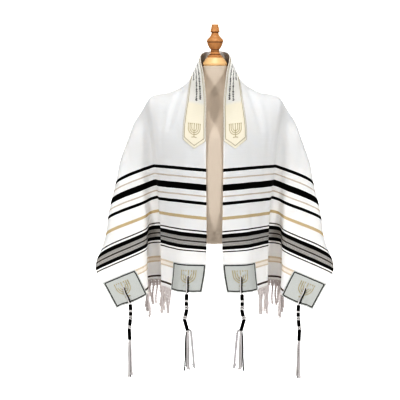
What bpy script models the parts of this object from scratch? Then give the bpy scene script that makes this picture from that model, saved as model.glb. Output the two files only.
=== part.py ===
"""A tallit prayer shawl worn by a limbless dress form on a floor stand.

Metres, +Z up, the front faces -Y. The origin is on the floor, under the middle of the base.
The shawl is one rectangle of cloth. Every point of it is found from two lengths measured on the flat
cloth: `along` runs from the middle of the back to a fringed end, and `across` from the edge that goes
round the neck to the outer edge. The half on +X is worked out, and the other half mirrors it.
"""

import bmesh
import bpy
import numpy as np
from mathutils import Vector

# ------------------------------------------------------------------ driving sizes
HALF_LENGTH = 0.960      # middle of the back to a fringed end
WIDTH = 0.600            # neck edge to outer edge
CLOTH = 0.0015           # wall of the shawl
PATCH_CLOTH = 0.0012     # wall of what is sewn on it
SEAM_GAP = 0.0004        # left between two pieces that are sewn together
BAND_WIDTH = 0.088       # neckband, over the neck edge
BAND_SHOULDER = 0.420    # where the band starts to narrow, along the cloth
BAND_TIP = 0.449         # its pointed end
PATCH_ALONG = 0.103      # corner patch, in from the fringed end
PATCH_ACROSS = 0.130

FINIAL_TOP = 1.564
CAP_BOTTOM = 1.418
FORM_BOTTOM = 0.786
POLE_RADIUS = 0.0125
BASE_RADIUS = 0.190
BASE_HEIGHT = 0.012

CREST_BEFORE, CREST_AFTER = 0.20, 0.22    # how near the crest its fold starts and ends, as shares
CREST_SOFT = 0.75        # how far the crest is rounded above the stripes, where it is soft
BACK_FOLD_DEPTH = 0.008  # soft folds down the back
BACK_FOLD_PITCH = 0.165

# ------------------------------------------------------------------ how the cloth lies
# A row is one line straight across the cloth, `along` metres from the middle of the back.
# Each column is a fold line that the row crosses: (out to the side, back, up), in metres.
FOLD_LINES = ("neck_edge", "panel", "crest", "pleat_in", "pleat_out", "lap", "side", "turn", "outer_edge")
ROWS = {
    0.00: ((0.000, 0.068, 1.470), (0.000, 0.115, 1.378), (0.000, 0.138, 1.285), (0.000, 0.140, 1.265),
           (0.000, 0.142, 1.245), (0.000, 0.143, 1.225), (0.000, 0.144, 1.185), (0.000, 0.140, 1.055),
           (0.000, 0.135, 0.885)),
    0.09: ((0.050, 0.022, 1.456), (0.075, 0.082, 1.385), (0.096, 0.125, 1.298), (0.099, 0.131, 1.280),
           (0.101, 0.136, 1.260), (0.103, 0.139, 1.240), (0.105, 0.143, 1.200), (0.106, 0.145, 1.070),
           (0.095, 0.143, 0.900)),
    0.18: ((0.040, -0.055, 1.388), (0.090, 0.016, 1.360), (0.173, 0.072, 1.311), (0.186, 0.090, 1.298),
           (0.196, 0.105, 1.284), (0.203, 0.118, 1.265), (0.210, 0.135, 1.228), (0.214, 0.155, 1.100),
           (0.185, 0.160, 0.940)),
    0.27: ((0.031, -0.113, 1.305), (0.096, -0.053, 1.312), (0.229, 0.000, 1.306), (0.242, 0.020, 1.293),
           (0.253, 0.036, 1.276), (0.264, 0.050, 1.257), (0.284, 0.068, 1.218), (0.296, 0.120, 1.100),
           (0.282, 0.155, 0.985)),
    0.38: ((0.030, -0.129, 1.199), (0.112, -0.094, 1.203), (0.219, -0.034, 1.198), (0.238, 0.000, 1.192),
           (0.255, 0.008, 1.187), (0.274, 0.010, 1.182), (0.308, 0.020, 1.170), (0.336, 0.080, 1.060),
           (0.326, 0.140, 0.930)),
    0.52: ((0.030, -0.130, 1.059), (0.115, -0.096, 1.062), (0.206, -0.028, 1.061), (0.226, 0.022, 1.055),
           (0.244, 0.032, 1.048), (0.268, 0.030, 1.040), (0.358, 0.030, 0.997), (0.374, 0.080, 0.937),
           (0.364, 0.125, 0.870)),
    0.66: ((0.0285, -0.133, 0.919), (0.115, -0.098, 0.922), (0.199, -0.028, 0.920), (0.214, 0.038, 0.915),
           (0.238, 0.046, 0.907), (0.262, 0.022, 0.896), (0.390, 0.012, 0.844), (0.402, 0.045, 0.816),
           (0.398, 0.075, 0.786)),
    0.80: ((0.028, -0.135, 0.779), (0.119, -0.109, 0.781), (0.196, -0.032, 0.781), (0.203, 0.042, 0.776),
           (0.246, 0.052, 0.769), (0.255, -0.005, 0.757), (0.370, -0.025, 0.707), (0.415, -0.042, 0.689),
           (0.434, -0.050, 0.680)),
    0.88: ((0.031, -0.136, 0.700), (0.118, -0.121, 0.698), (0.196, -0.034, 0.696), (0.200, 0.055, 0.686),
           (0.252, 0.060, 0.679), (0.254, -0.020, 0.667), (0.336, -0.045, 0.634), (0.377, -0.065, 0.621),
           (0.395, -0.076, 0.615)),
    0.96: ((0.044, -0.136, 0.619), (0.124, -0.124, 0.617), (0.195, -0.036, 0.615), (0.200, 0.062, 0.612),
           (0.254, 0.067, 0.606), (0.247, -0.036, 0.584), (0.295, -0.063, 0.562), (0.335, -0.088, 0.555),
           (0.355, -0.100, 0.548)),
}


def smooth(knots, values, at):
    """A cubic through `values` at `knots`, read at `at`; its slope at a knot is the mean of the chords'."""
    knots, values, at = np.asarray(knots), np.asarray(values), np.asarray(at)
    gap = np.diff(knots)[:, None]
    chord = np.diff(values, axis=0) / gap
    slope = np.concatenate([chord[:1], (chord[:-1] * gap[1:] + chord[1:] * gap[:-1]) / (gap[:-1] + gap[1:]),
                            chord[-1:]])
    i = np.clip(np.searchsorted(knots, at, side="right") - 1, 0, len(knots) - 2)
    h = gap[i]
    t = (at - knots[i])[:, None] / h
    return ((2 * t**3 - 3 * t**2 + 1) * values[i] + (t**3 - 2 * t**2 + t) * h * slope[i]
            + (3 * t**2 - 2 * t**3) * values[i + 1] + (t**3 - t**2) * h * slope[i + 1])


def fold_lines(along):
    """Where each row crosses each fold line, with a point just before and just after the sharp crest."""
    stations = sorted(ROWS)
    knots = np.array([-s for s in stations[:0:-1]] + stations)
    mirror = np.array([-1.0, 1.0, 1.0])
    rows = np.array([np.array(ROWS[abs(k)]) * (mirror if k < 0 else 1) for k in np.round(knots, 4)])
    folds = smooth(knots, rows.reshape(len(knots), -1), along).reshape(len(along), len(FOLD_LINES), 3)
    panel, crest, pleat = (folds[:, FOLD_LINES.index(name)] for name in ("panel", "crest", "pleat_in"))
    before = crest + (panel - crest) * CREST_BEFORE
    after = crest + (pleat - crest) * CREST_AFTER
    soft = CREST_SOFT * (1 - blend(0.50, 0.72, np.abs(along)))[:, None]
    crest = crest + ((before + after) / 2 - crest) * soft
    k = FOLD_LINES.index("crest")
    return np.concatenate([folds[:, :k], before[:, None], crest[:, None], after[:, None], folds[:, k + 1:]], axis=1)


def row_curve(points):
    """One row as a fine line, and how far along it each point is."""
    reach = np.concatenate([[0], np.cumsum(np.linalg.norm(np.diff(points, axis=0), axis=1) ** 0.5)])
    fine = smooth(reach, points, np.linspace(0, reach[-1], 400))
    run = np.concatenate([[0], np.cumsum(np.linalg.norm(np.diff(fine, axis=0), axis=1))])
    at_fold = np.interp(reach, np.linspace(0, reach[-1], 400), run)
    return fine, run, at_fold / run[-1] * WIDTH


def blend(low, high, value):
    t = np.clip((value - low) / (high - low), 0.0, 1.0)
    return t * t * (3 - 2 * t)


def columns(along):
    """How far across the cloth each grid line is, row by row: the lines keep to the folds, and to the seams."""
    made = []
    for u, points in zip(along, fold_lines(along)):
        fold = dict(zip(LINES_ALL, row_curve(points)[2]))
        seam = WIDTH - PATCH_ACROSS
        start = fold["side"] + (seam - fold["side"]) * blend(0.62, HALF_LENGTH - PATCH_ALONG, abs(u))
        marks = (PATCH_ACROSS, fold["before"], fold["crest"], fold["pleat_in"], fold["pleat_out"], fold["lap"],
                 start, WIDTH)
        row = list(BAND_COLUMNS)
        for low, high, count in zip(marks, marks[1:], CELLS_BETWEEN):
            row += list(np.linspace(low, high, count + 1)[1:])
        made.append(row)
    return np.array(made)


def cloth_points(along, across):
    """The cloth's middle surface at row `along[i]` and distance `across[i, j]`, as an array (i, j, 3)."""
    grid = np.empty(across.shape + (3,))
    for i, points in enumerate(fold_lines(along)):
        fine, run, _ = row_curve(points)
        place = across[i] / WIDTH * run[-1]
        grid[i] = np.stack([np.interp(place, run, fine[:, k]) for k in range(3)], axis=1)
    u, v = np.asarray(along)[:, None], across
    fade = blend(0.16, 0.50, v) * (1 - blend(0.22, 0.40, np.abs(u)))
    grid[:, :, 1] += BACK_FOLD_DEPTH * np.cos(2 * np.pi * u / BACK_FOLD_PITCH) * fade
    return grid


# Grid lines of the cloth: close together over the folds, and one at each edge of what is sewn on it.
ALONG = (0.0, 0.04, 0.08, 0.12, 0.155, 0.19, 0.225, 0.26, 0.30, 0.36, BAND_SHOULDER, 0.4345, BAND_TIP,
         0.50, 0.56, 0.62, 0.68, 0.74, 0.80, HALF_LENGTH - PATCH_ALONG, 0.911, HALF_LENGTH)
BAND_COLUMNS = (0.0, 0.022, 0.044, 0.066, BAND_WIDTH, PATCH_ACROSS)
CELLS_BETWEEN = (2, 1, 4, 2, 3, 5, 5)
LINES_ALL = FOLD_LINES[:2] + ("before", "crest", "after") + FOLD_LINES[3:]
BOTH_WAYS = np.array([-a for a in ALONG[:0:-1]] + list(ALONG))
COLUMNS = columns(BOTH_WAYS)
WIDE = COLUMNS.shape[1]

# The dress form, a row per level: height, half width, depth in front, depth behind.
FORM_LEVELS = (
    (FORM_BOTTOM, 0.144, 0.088, 0.100), (0.792, 0.150, 0.093, 0.107), (0.835, 0.156, 0.106, 0.112),
    (0.870, 0.150, 0.117, 0.112), (0.900, 0.142, 0.124, 0.110), (0.975, 0.130, 0.1275, 0.100),
    (1.050, 0.137, 0.1275, 0.104), (1.120, 0.152, 0.126, 0.115), (1.180, 0.174, 0.1195, 0.122),
    (1.230, 0.195, 0.094, 0.118), (1.268, 0.205, 0.0735, 0.110), (1.292, 0.195, 0.0600, 0.100),
    (1.310, 0.166, 0.0520, 0.089), (1.326, 0.1227, 0.0485, 0.078), (1.342, 0.090, 0.045, 0.068),
    (1.358, 0.068, 0.043, 0.062), (1.378, 0.056, 0.044, 0.056), (1.400, 0.049, 0.043, 0.049),
    (CAP_BOTTOM - SEAM_GAP, 0.044, 0.042, 0.044),
)

# Turned profiles: radius, height.
CAP_PROFILE = (
    (0.0, CAP_BOTTOM), (0.0425, CAP_BOTTOM), (0.0442, 1.4245), (0.0438, 1.4265), (0.0372, 1.4365),
    (0.0310, 1.4455), (0.0292, 1.4468), (0.0, 1.4468),
)
FINIAL_PROFILE = (
    (0.0, 1.4472), (0.0264, 1.4472), (0.0274, 1.4492), (0.0264, 1.4530), (0.0214, 1.4550), (0.0190, 1.4570),
    (0.0198, 1.4592), (0.0180, 1.4640), (0.0168, 1.4672), (0.0146, 1.4684), (0.0164, 1.4704),
    (0.0151, 1.4738), (0.0176, 1.4775), (0.0215, 1.4820), (0.0246, 1.4888), (0.0282, 1.4980),
    (0.0277, 1.4994), (0.0296, 1.5012), (0.0302, 1.5060), (0.0280, 1.5100), (0.0205, 1.5170),
    (0.0167, 1.5220), (0.0124, 1.5338), (0.0172, 1.5370), (0.0170, 1.5398), (0.0138, 1.5520),
    (0.0122, 1.5622), (0.0, FINIAL_TOP),
)

# A corner tassel: its cord leaves the patch at the eyelet, and below the hem it is wound and knotted.
EYELET_IN = 0.058        # from the fringed end
EYELET_ACROSS = 0.060    # from the nearer long edge
CORD_CROSSES = 0.052     # where the cord crosses the hem, from the nearer long edge
CORD_RADIUS = 0.0022
WOUND_RADIUS = 0.0053
TASSEL_PARTS = (         # length, radius at the middle
    (0.0205, WOUND_RADIUS), (0.0070, 0.0060), (0.0135, WOUND_RADIUS), (0.0150, 0.0062),
    (0.0230, WOUND_RADIUS), (0.0120, 0.0060), (0.0430, WOUND_RADIUS),
)
LOOSE_LENGTH = 0.146
LOOSE_RADIUS = 0.0024
TASSEL_SWAY = {          # sideways by depth below the hem: (depth, outwards)
    "inner": ((0.0, 0.0), (0.015, 0.0), (0.037, 0.0017), (0.060, -0.0004), (0.083, 0.0034), (0.097, 0.0075),
              (0.118, 0.0040), (0.140, -0.0035), (0.30, -0.0035)),
    "outer": ((0.0, 0.0), (0.020, -0.0013), (0.045, -0.0010), (0.060, 0.0005), (0.085, 0.0020), (0.105, 0.0050),
              (0.127, 0.0035), (0.150, 0.0015), (0.30, -0.0010)),
}
LOOSE_SPREAD = {         # where each loose strand ends: outwards, back
    "inner": ((0.010, 0.002), (0.000, 0.007), (-0.026, 0.001), (-0.005, -0.006)),
    "outer": ((0.004, 0.000), (0.000, 0.006), (-0.006, 0.001), (-0.001, -0.006)),
}

FRINGE_STRANDS = 24
FRINGE_LENGTH = 0.078
FRINGE_STRIP = 0.004
FRINGE_THICK = 0.0018


# ------------------------------------------------------------------ materials and helpers
def material(name, colour, roughness, metallic=0.0):
    made = bpy.data.materials.new(name)
    made.use_nodes = True
    shader = made.node_tree.nodes["Principled BSDF"]
    shader.inputs["Base Color"].default_value = (*colour, 1.0)
    shader.inputs["Roughness"].default_value = roughness
    shader.inputs["Metallic"].default_value = metallic
    return made


def collection(name):
    made = bpy.data.collections.new(name)
    bpy.context.scene.collection.children.link(made)
    return made


def mesh_object(name, points, faces, look, group, edges=()):
    mesh = bpy.data.meshes.new(name)
    mesh.from_pydata([tuple(p) for p in np.asarray(points, float)], list(edges), faces)
    mesh.materials.append(look)
    made = bpy.data.objects.new(name, mesh)
    group.objects.link(made)
    return made


def thickened(made, thickness):
    """Gives a sheet its wall, half on each side."""
    wall = made.modifiers.new("wall", "SOLIDIFY")
    wall.thickness = thickness
    wall.offset = 0.0
    wall.use_rim = True
    return made


def cell_triangles(i, j):
    """A cell of the cloth as two triangles, facing out: the one nearer the middle of the back comes first.

    The cut between them leans towards the band's point, so that the band ends along grid lines.
    """
    width = WIDE
    a = i * width + j
    b, c, d = a + 1, a + width, a + width + 1
    front = BOTH_WAYS[i] >= -1e-9
    if (j < 2) == front:
        pair = [(a, d, b), (a, c, d)]
    else:
        pair = [(a, c, b), (b, c, d)]
    return pair if front else pair[::-1]


def sheet_on_cloth(name, cells, lift, thickness, look, group):
    """A sheet over some of the cloth's triangles, its points moved out from the cloth's by `lift`."""
    faces = [f for cell in cells for f in cell]
    used = sorted({p for f in faces for p in f})
    order = {p: k for k, p in enumerate(used)}
    points = (SURFACE + NORMALS * lift).reshape(-1, 3)[used]
    return thickened(mesh_object(name, points, [[order[p] for p in f] for f in faces], look, group), thickness)


def point_normals(points):
    """Unit normals of the cloth's grid, facing out of the garment."""
    faces = np.array([f for i in range(len(points) - 1) for j in range(points.shape[1] - 1)
                      for f in cell_triangles(i, j)])
    flat = points.reshape(-1, 3)
    normal = np.cross(flat[faces[:, 1]] - flat[faces[:, 0]], flat[faces[:, 2]] - flat[faces[:, 0]])
    total = np.zeros_like(flat)
    for k in range(3):
        np.add.at(total, faces[:, k], normal)
    return (total / np.linalg.norm(total, axis=1)[:, None]).reshape(points.shape)


def on_cloth(field, along, across):
    """A value kept at the grid's points, read between them."""
    i = int(np.clip(np.searchsorted(BOTH_WAYS, along, side="right") - 1, 0, len(BOTH_WAYS) - 2))
    s = (along - BOTH_WAYS[i]) / (BOTH_WAYS[i + 1] - BOTH_WAYS[i])
    low, high = (np.array([np.interp(across, COLUMNS[k], field[k, :, axis]) for axis in range(3)])
                 for k in (i, i + 1))
    return (1 - s) * low + s * high


def loft(sections):
    """Faces joining equal rings of points, with both ends closed by a fan."""
    count = len(sections[0])
    points = np.concatenate(sections + [[np.mean(sections[0], axis=0)], [np.mean(sections[-1], axis=0)]])
    faces = []
    for k in range(len(sections) - 1):
        for i in range(count):
            j = (i + 1) % count
            faces.append((k * count + i, k * count + j, (k + 1) * count + j, (k + 1) * count + i))
    last = (len(sections) - 1) * count
    for i in range(count):
        j = (i + 1) % count
        faces.append((len(points) - 2, j, i))
        faces.append((len(points) - 1, last + i, last + j))
    return points, faces


def turned(name, profile, steps, look, group):
    """A solid turned round the vertical axis from (radius, height) pairs, bottom to top."""
    made = mesh_object(name, [(r, 0.0, z) for r, z in profile], [], look, group,
                       [(k, k + 1) for k in range(len(profile) - 1)])
    screw = made.modifiers.new("turn", "SCREW")
    screw.steps = screw.render_steps = steps
    screw.use_normal_flip = True
    screw.use_merge_vertices = True
    screw.merge_threshold = 0.0001
    return made


def tube_ring(centre, heading, radius, sides):
    """A ring of points square to `heading`, starting at its outer side."""
    heading = Vector(heading).normalized()
    out = Vector((1.0, 0.0, 0.0))
    out = (out - heading * out.dot(heading)).normalized()
    back = heading.cross(out)
    turn = [2 * np.pi * k / sides for k in range(sides)]
    return [Vector(centre) + (out * np.cos(t) + back * np.sin(t)) * radius for t in turn]


def drawn_out(mesh, face, path, radius):
    """Draws a four-sided strand out of a face, along a path of centres, and closes its end."""
    made = bmesh.ops.extrude_discrete_faces(mesh, faces=[face])["faces"][0]
    corners = list(made.verts)
    middle = made.calc_center_median()
    arms = [(v.co - middle).normalized() * radius for v in corners]
    for k, centre in enumerate(path):
        if k:
            made = bmesh.ops.extrude_discrete_faces(mesh, faces=[made])["faces"][0]
        near = list(made.verts)
        now = made.calc_center_median()
        for v in near:
            arm = min(arms, key=lambda a: ((v.co - now).normalized() - a.normalized()).length)
            v.co = Vector(centre) + arm * (0.75 if k == len(path) - 1 else 1.0)
    return made


def finished(mesh, name, look, group):
    bmesh.ops.recalc_face_normals(mesh, faces=mesh.faces)
    data = bpy.data.meshes.new(name)
    mesh.to_mesh(data)
    mesh.free()
    data.materials.append(look)
    made = bpy.data.objects.new(name, data)
    group.objects.link(made)
    return made


def sway(table, depth):
    return float(np.interp(depth, [row[0] for row in table], [row[1] for row in table]))


# ------------------------------------------------------------------ the pieces
def shawl():
    cells = [cell_triangles(i, j) for i in range(len(BOTH_WAYS) - 1) for j in range(WIDE - 1)]
    sheet_on_cloth("shawl", cells, 0.0, CLOTH, WOOL, CLOTHS)


def neckband():
    """The band over the neck edge, pointed at both ends."""
    cells = []
    count = BAND_COLUMNS.index(BAND_WIDTH)
    for i, low in enumerate(BOTH_WAYS[:-1]):
        start = min(abs(low), abs(BOTH_WAYS[i + 1]))
        for j in range(count):
            pair = cell_triangles(i, j)
            steps_out = min(j, count - 1 - j)
            if start < BAND_SHOULDER - 1e-6:
                cells.append(pair)
            elif start < BAND_TIP - 1e-6:
                step = 0 if start < 0.43 else 1
                if steps_out > step:
                    cells.append(pair)
                elif steps_out == step:
                    cells.append(pair[:1])
    sheet_on_cloth("neckband", cells, SEWN_LIFT, PATCH_CLOTH, BAND_CLOTH, CLOTHS)


def corner_patch(name, side, corner):
    rows = [i for i in range(len(BOTH_WAYS) - 1)
            if side * (BOTH_WAYS[i] + BOTH_WAYS[i + 1]) / 2 > HALF_LENGTH - PATCH_ALONG]
    over = range(len(BAND_COLUMNS) - 1) if corner == "inner" else range(WIDE - 1 - CELLS_BETWEEN[-1], WIDE - 1)
    cells = [cell_triangles(i, j) for i in rows for j in over]
    sheet_on_cloth(name, cells, SEWN_LIFT, PATCH_CLOTH, PATCH_WEAVE, CLOTHS)


def corner_tassel(name, side, corner):
    """Eyelet, cord over the patch, wound and knotted shank, four loose strands."""
    lift = SEWN_LIFT + PATCH_CLOTH / 2 + 0.0008 + CORD_RADIUS
    path, radii = [], []
    for back in (EYELET_IN, 0.038, 0.024, 0.010, 0.002):
        at = side * (HALF_LENGTH - back)
        across = CORD_CROSSES + (EYELET_ACROSS - CORD_CROSSES) * back / EYELET_IN
        across = across if corner == "inner" else WIDTH - across
        path.append(Vector(on_cloth(SURFACE, at, across) + on_cloth(NORMALS, at, across) * lift))
        radii.append(CORD_RADIUS)
    hem = path[-1] + (path[-1] - path[-2]).normalized() * 0.004
    path.append(hem)
    radii.append(CORD_RADIUS)
    depth = 0.003
    out = Vector((float(side), 0.0, 0.0))

    def below(depth):
        return hem + Vector((0.0, 0.0, -depth)) + out * sway(TASSEL_SWAY[corner], depth)

    path.append(below(depth))
    radii.append(CORD_RADIUS * 1.3)
    for length, radius in TASSEL_PARTS:
        knot = radius > WOUND_RADIUS
        for share, size in (((0.12, 0.8), (0.5, 1.0), (0.88, 0.8)) if knot else ((0.06, 1.0), (0.94, 1.0))):
            path.append(below(depth + share * length))
            radii.append(radius * size)
        depth += length
    mesh = bmesh.new()
    rings = []
    for k, centre in enumerate(path):
        heading = path[min(k + 1, len(path) - 1)] - path[max(k - 1, 0)]
        rings.append([mesh.verts.new(p) for p in tube_ring(centre, heading, radii[k], 8)])
    for low, high in zip(rings, rings[1:]):
        for i in range(8):
            mesh.faces.new((low[i], low[(i + 1) % 8], high[(i + 1) % 8], high[i]))
    mesh.faces.new(rings[0])
    end = mesh.verts.new(path[-1] + Vector((0.0, 0.0, -0.003)))
    roots = [mesh.faces.new((end, rings[-1][2 * k], rings[-1][2 * k + 1], rings[-1][(2 * k + 2) % 8]))
             for k in range(4)]
    mesh.normal_update()
    for root, (spread, back) in zip(roots, LOOSE_SPREAD[corner]):
        start = root.calc_center_median()
        centres = []
        for share in (0.04, 0.22, 0.5, 0.78, 1.0):
            bend = share**0.5
            centres.append(start + out * (spread * bend + 0.0016 * np.sin(9 * share + 60 * spread))
                           + Vector((0.0, back * bend, -share * LOOSE_LENGTH)))
        drawn_out(mesh, root, centres, LOOSE_RADIUS)
    finished(mesh, name, CORD, TASSELS)


def fringe(name, side):
    """A narrow strip under the hem between the patches, with its strands drawn out of it."""
    first, last = PATCH_ACROSS + 0.008, WIDTH - PATCH_ACROSS - 0.008
    pitch = (last - first) / FRINGE_STRANDS
    half = 0.0018
    centres = [first + pitch * (k + 0.5) for k in range(FRINGE_STRANDS)]
    edges = [c + s * half for c in centres for s in (-1, 1)]
    between = [a for a in COLUMNS[-1] if first < a < last and min(abs(a - c) for c in centres) > half + 0.002]
    stations = sorted([first] + edges + between + [last])
    mesh = bmesh.new()
    sections = []
    for across in stations:
        hem = on_cloth(SURFACE, side * HALF_LENGTH, across)
        above = on_cloth(SURFACE, side * (HALF_LENGTH - 0.02), across)
        down = (hem - above) / np.linalg.norm(hem - above)
        normal = on_cloth(NORMALS, side * HALF_LENGTH, across)
        normal = normal - down * float(normal @ down)
        normal = normal / np.linalg.norm(normal) * FRINGE_THICK / 2
        top, low = hem + down * FRINGE_GAP, hem + down * (FRINGE_GAP + FRINGE_STRIP)
        sections.append([mesh.verts.new(p) for p in (top + normal, top - normal, low - normal, low + normal)])
    roots = []
    for k, (one, two) in enumerate(zip(sections, sections[1:])):
        for i in range(4):
            made = mesh.faces.new((one[i], one[(i + 1) % 4], two[(i + 1) % 4], two[i]))
            if i == 2 and any(abs((stations[k] + stations[k + 1]) / 2 - c) < 1e-5 for c in centres):
                roots.append(made)
    mesh.faces.new(sections[0])
    mesh.faces.new(sections[-1])
    bmesh.ops.recalc_face_normals(mesh, faces=mesh.faces)
    for k, root in enumerate(roots):
        start = root.calc_center_median()
        lean = Vector((side * 0.010 * np.sin(2.4 * k + 0.6), 0.007 * np.sin(1.7 * k + 1.0), 0.0))
        long = FRINGE_LENGTH * (1.0 + 0.13 * np.sin(2.9 * k))
        path = [start + lean * share**1.3 + Vector((0.0, 0.0, -share * long)) for share in (0.06, 0.35, 0.7, 1.0)]
        drawn_out(mesh, root, path, 0.0030)
    finished(mesh, name, FRINGE_YARN, TASSELS)


def dress_form():
    rings = []
    turn = np.linspace(0, 2 * np.pi, 28, endpoint=False)
    for height, half, front, behind in FORM_LEVELS:
        depth = np.where(np.sin(turn) < 0, front, behind)
        rings.append(np.stack([half * np.cos(turn), depth * np.sin(turn), np.full_like(turn, height)], axis=1))
    points, faces = loft(rings)
    mesh_object("form_torso", points, faces, FORM_COVER, STAND)
    turned("neck_cap", CAP_PROFILE, 26, PALE_WOOD, STAND)
    turned("finial", FINIAL_PROFILE, 18, BROWN_WOOD, STAND)


def floor_stand():
    top = FORM_BOTTOM - SEAM_GAP
    low = BASE_HEIGHT + SEAM_GAP
    turned("pole", ((0.0, low), (POLE_RADIUS, low), (POLE_RADIUS, top), (0.0, top)), 20, WHITE_STEEL, STAND)
    bore = POLE_RADIUS + SEAM_GAP
    turned("pole_socket", ((bore, low), (0.021, low), (0.021, 0.040), (0.018, 0.043), (bore, 0.043), (bore, low)),
           20, WHITE_STEEL, STAND)
    rim = BASE_HEIGHT - 0.003
    turned("base", ((0.0, 0.0), (BASE_RADIUS - 0.002, 0.0), (BASE_RADIUS, 0.002), (BASE_RADIUS, rim),
                    (BASE_RADIUS - 0.004, BASE_HEIGHT), (0.0, BASE_HEIGHT)), 40, WHITE_STEEL, STAND)


for old in list(bpy.data.objects):
    bpy.data.objects.remove(old, do_unlink=True)

CLOTHS, TASSELS, STAND = collection("cloth"), collection("tassels"), collection("stand")
WOOL = material("white_cloth", (0.86, 0.85, 0.84), 0.85)
BAND_CLOTH = material("cream_band", (0.85, 0.82, 0.68), 0.7)
PATCH_WEAVE = material("grey_patch", (0.55, 0.56, 0.54), 0.7)
CORD = material("black_white_cord", (0.05, 0.05, 0.05), 0.8)
FRINGE_YARN = material("fringe_yarn", (0.82, 0.78, 0.76), 0.85)
FORM_COVER = material("form_cover", (0.72, 0.62, 0.50), 0.8)
PALE_WOOD = material("pale_wood", (0.78, 0.50, 0.26), 0.4)
BROWN_WOOD = material("brown_wood", (0.55, 0.26, 0.09), 0.4)
WHITE_STEEL = material("white_steel", (0.88, 0.88, 0.88), 0.4)

SEWN_LIFT = CLOTH / 2 + SEAM_GAP + PATCH_CLOTH / 2
FRINGE_GAP = SEAM_GAP
SURFACE = cloth_points(BOTH_WAYS, COLUMNS)
NORMALS = point_normals(SURFACE)

shawl()
neckband()
for side, hand in ((1, "left"), (-1, "right")):
    corner_patch(f"patch_inner_{hand}", side, "inner")
    corner_patch(f"patch_outer_{hand}", side, "outer")
    corner_tassel(f"tassel_inner_{hand}", side, "inner")
    corner_tassel(f"tassel_outer_{hand}", side, "outer")
    fringe(f"fringe_{hand}", side)
dress_form()
floor_stand()
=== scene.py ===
# %% [markdown]
# # A prayer shawl on a dress form, dressed piece by piece
# The imported model gives plain solids in metres: a rectangle of cloth hung over a form on a stand.
# This lesson covers them with what a maker would see up close: thin folded cloth with woven stripes,
# a sewn neckband, corner patches with gold thread, knotted corner tassels, turned wood and painted steel.
# We load the solids first, because every piece below is placed by them.

# %% Load the imported model
from collections import namedtuple

import bpy
import numpy as np
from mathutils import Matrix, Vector


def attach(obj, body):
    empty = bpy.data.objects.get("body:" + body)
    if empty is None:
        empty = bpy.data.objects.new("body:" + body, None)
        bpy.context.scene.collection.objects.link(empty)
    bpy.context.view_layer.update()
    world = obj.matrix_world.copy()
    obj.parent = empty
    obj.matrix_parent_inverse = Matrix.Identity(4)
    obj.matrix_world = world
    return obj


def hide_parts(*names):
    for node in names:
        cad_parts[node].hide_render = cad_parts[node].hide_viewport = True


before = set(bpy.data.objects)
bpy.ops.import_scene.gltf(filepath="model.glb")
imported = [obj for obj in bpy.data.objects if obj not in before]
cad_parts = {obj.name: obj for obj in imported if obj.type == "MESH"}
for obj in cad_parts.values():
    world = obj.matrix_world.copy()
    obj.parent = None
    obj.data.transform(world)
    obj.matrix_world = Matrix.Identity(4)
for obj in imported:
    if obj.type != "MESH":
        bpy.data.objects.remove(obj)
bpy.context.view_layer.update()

# %% [markdown]
# ## The camera
# A person standing three metres away and looking slightly down at the garment sees it as a shop does.
# A camera could be aimed with a constraint, but a heading worked out from two angles stays put and is easy
# to read: we turn it a degree to the left and nine degrees down. A long lens keeps the two sides of the
# cloth close to parallel, so we give the lens in millimetres for a sensor 36 mm wide.

# %% Camera
TURN_LEFT, TILT_DOWN = np.radians(1.02), np.radians(9.25)
CAMERA_PLACE, SENSOR_MM, LENS_MM = (0.0, -3.0, 1.42), 36.0, 74.57
heading = Vector((-np.sin(TURN_LEFT) * np.cos(TILT_DOWN), np.cos(TURN_LEFT) * np.cos(TILT_DOWN),
                  -np.sin(TILT_DOWN)))
camera_data = bpy.data.cameras.new("camera")
camera_data.sensor_width, camera_data.lens = SENSOR_MM, LENS_MM
camera = bpy.data.objects.new("camera", camera_data)
camera.location = CAMERA_PLACE
camera.rotation_euler = heading.to_track_quat("-Z", "Y").to_euler()
bpy.context.scene.collection.objects.link(camera)
bpy.context.scene.camera = camera
print("camera looks along", tuple(round(c, 3) for c in heading))

# %% [markdown]
# ## Materials as small node trees
# Every finish below starts from the Principled shader, and adds nodes for weave, grain or thread.
# Numbers that are the same all over go straight into the shader's own sockets, which keeps them easy to find.
# The first helper makes a material, sets those sockets, and hands back the material, its node tree and its
# shader. The others add a node or a short chain each, so that a finish can be written as a few short lines.

# %% A material and its nodes
def finish(name, colour, roughness, **sockets):
    """A Principled material; returns it with its node tree and its shader."""
    made = bpy.data.materials.new(name)
    made.use_nodes = True
    shader = made.node_tree.nodes["Principled BSDF"]
    shader.inputs["Base Color"].default_value = (*colour, 1.0)
    shader.inputs["Roughness"].default_value = roughness
    for socket, value in sockets.items():
        shader.inputs[socket.replace("_", " ")].default_value = value
    return made, made.node_tree, shader


def node(tree, kind, values=(), **settings):
    """A node of that kind, its settings, and what goes into its inputs by number: a value or another output."""
    made = tree.nodes.new("ShaderNode" + kind)
    for key, value in settings.items():
        setattr(made, key, value)
    for k, value in dict(values).items():
        if isinstance(value, bpy.types.NodeSocket):
            tree.links.new(value, made.inputs[k])
        else:
            made.inputs[k].default_value = value
    return made


print("helpers for a material and its nodes ready")

# %% [markdown]
# Woven and knitted patterns are arithmetic on lengths: how far a point lies across and along the cloth, or
# where it is on the piece. A picture could be laid on instead, but a formula stays sharp however close we look.

# %% Lengths, waves and noise
def maths(tree, operation, a, b=0.0, c=0.0):
    """One step of arithmetic on numbers or outputs."""
    return node(tree, "Math", {0: a, 1: b, 2: c}, operation=operation).outputs[0]


def times(tree, a, b):
    """The product of two numbers or outputs."""
    return maths(tree, "MULTIPLY", a, b)


def distance_from(tree, number, middle):
    """How far a number is from `middle`, to either side."""
    return maths(tree, "ABSOLUTE", maths(tree, "SUBTRACT", number, middle))


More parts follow.
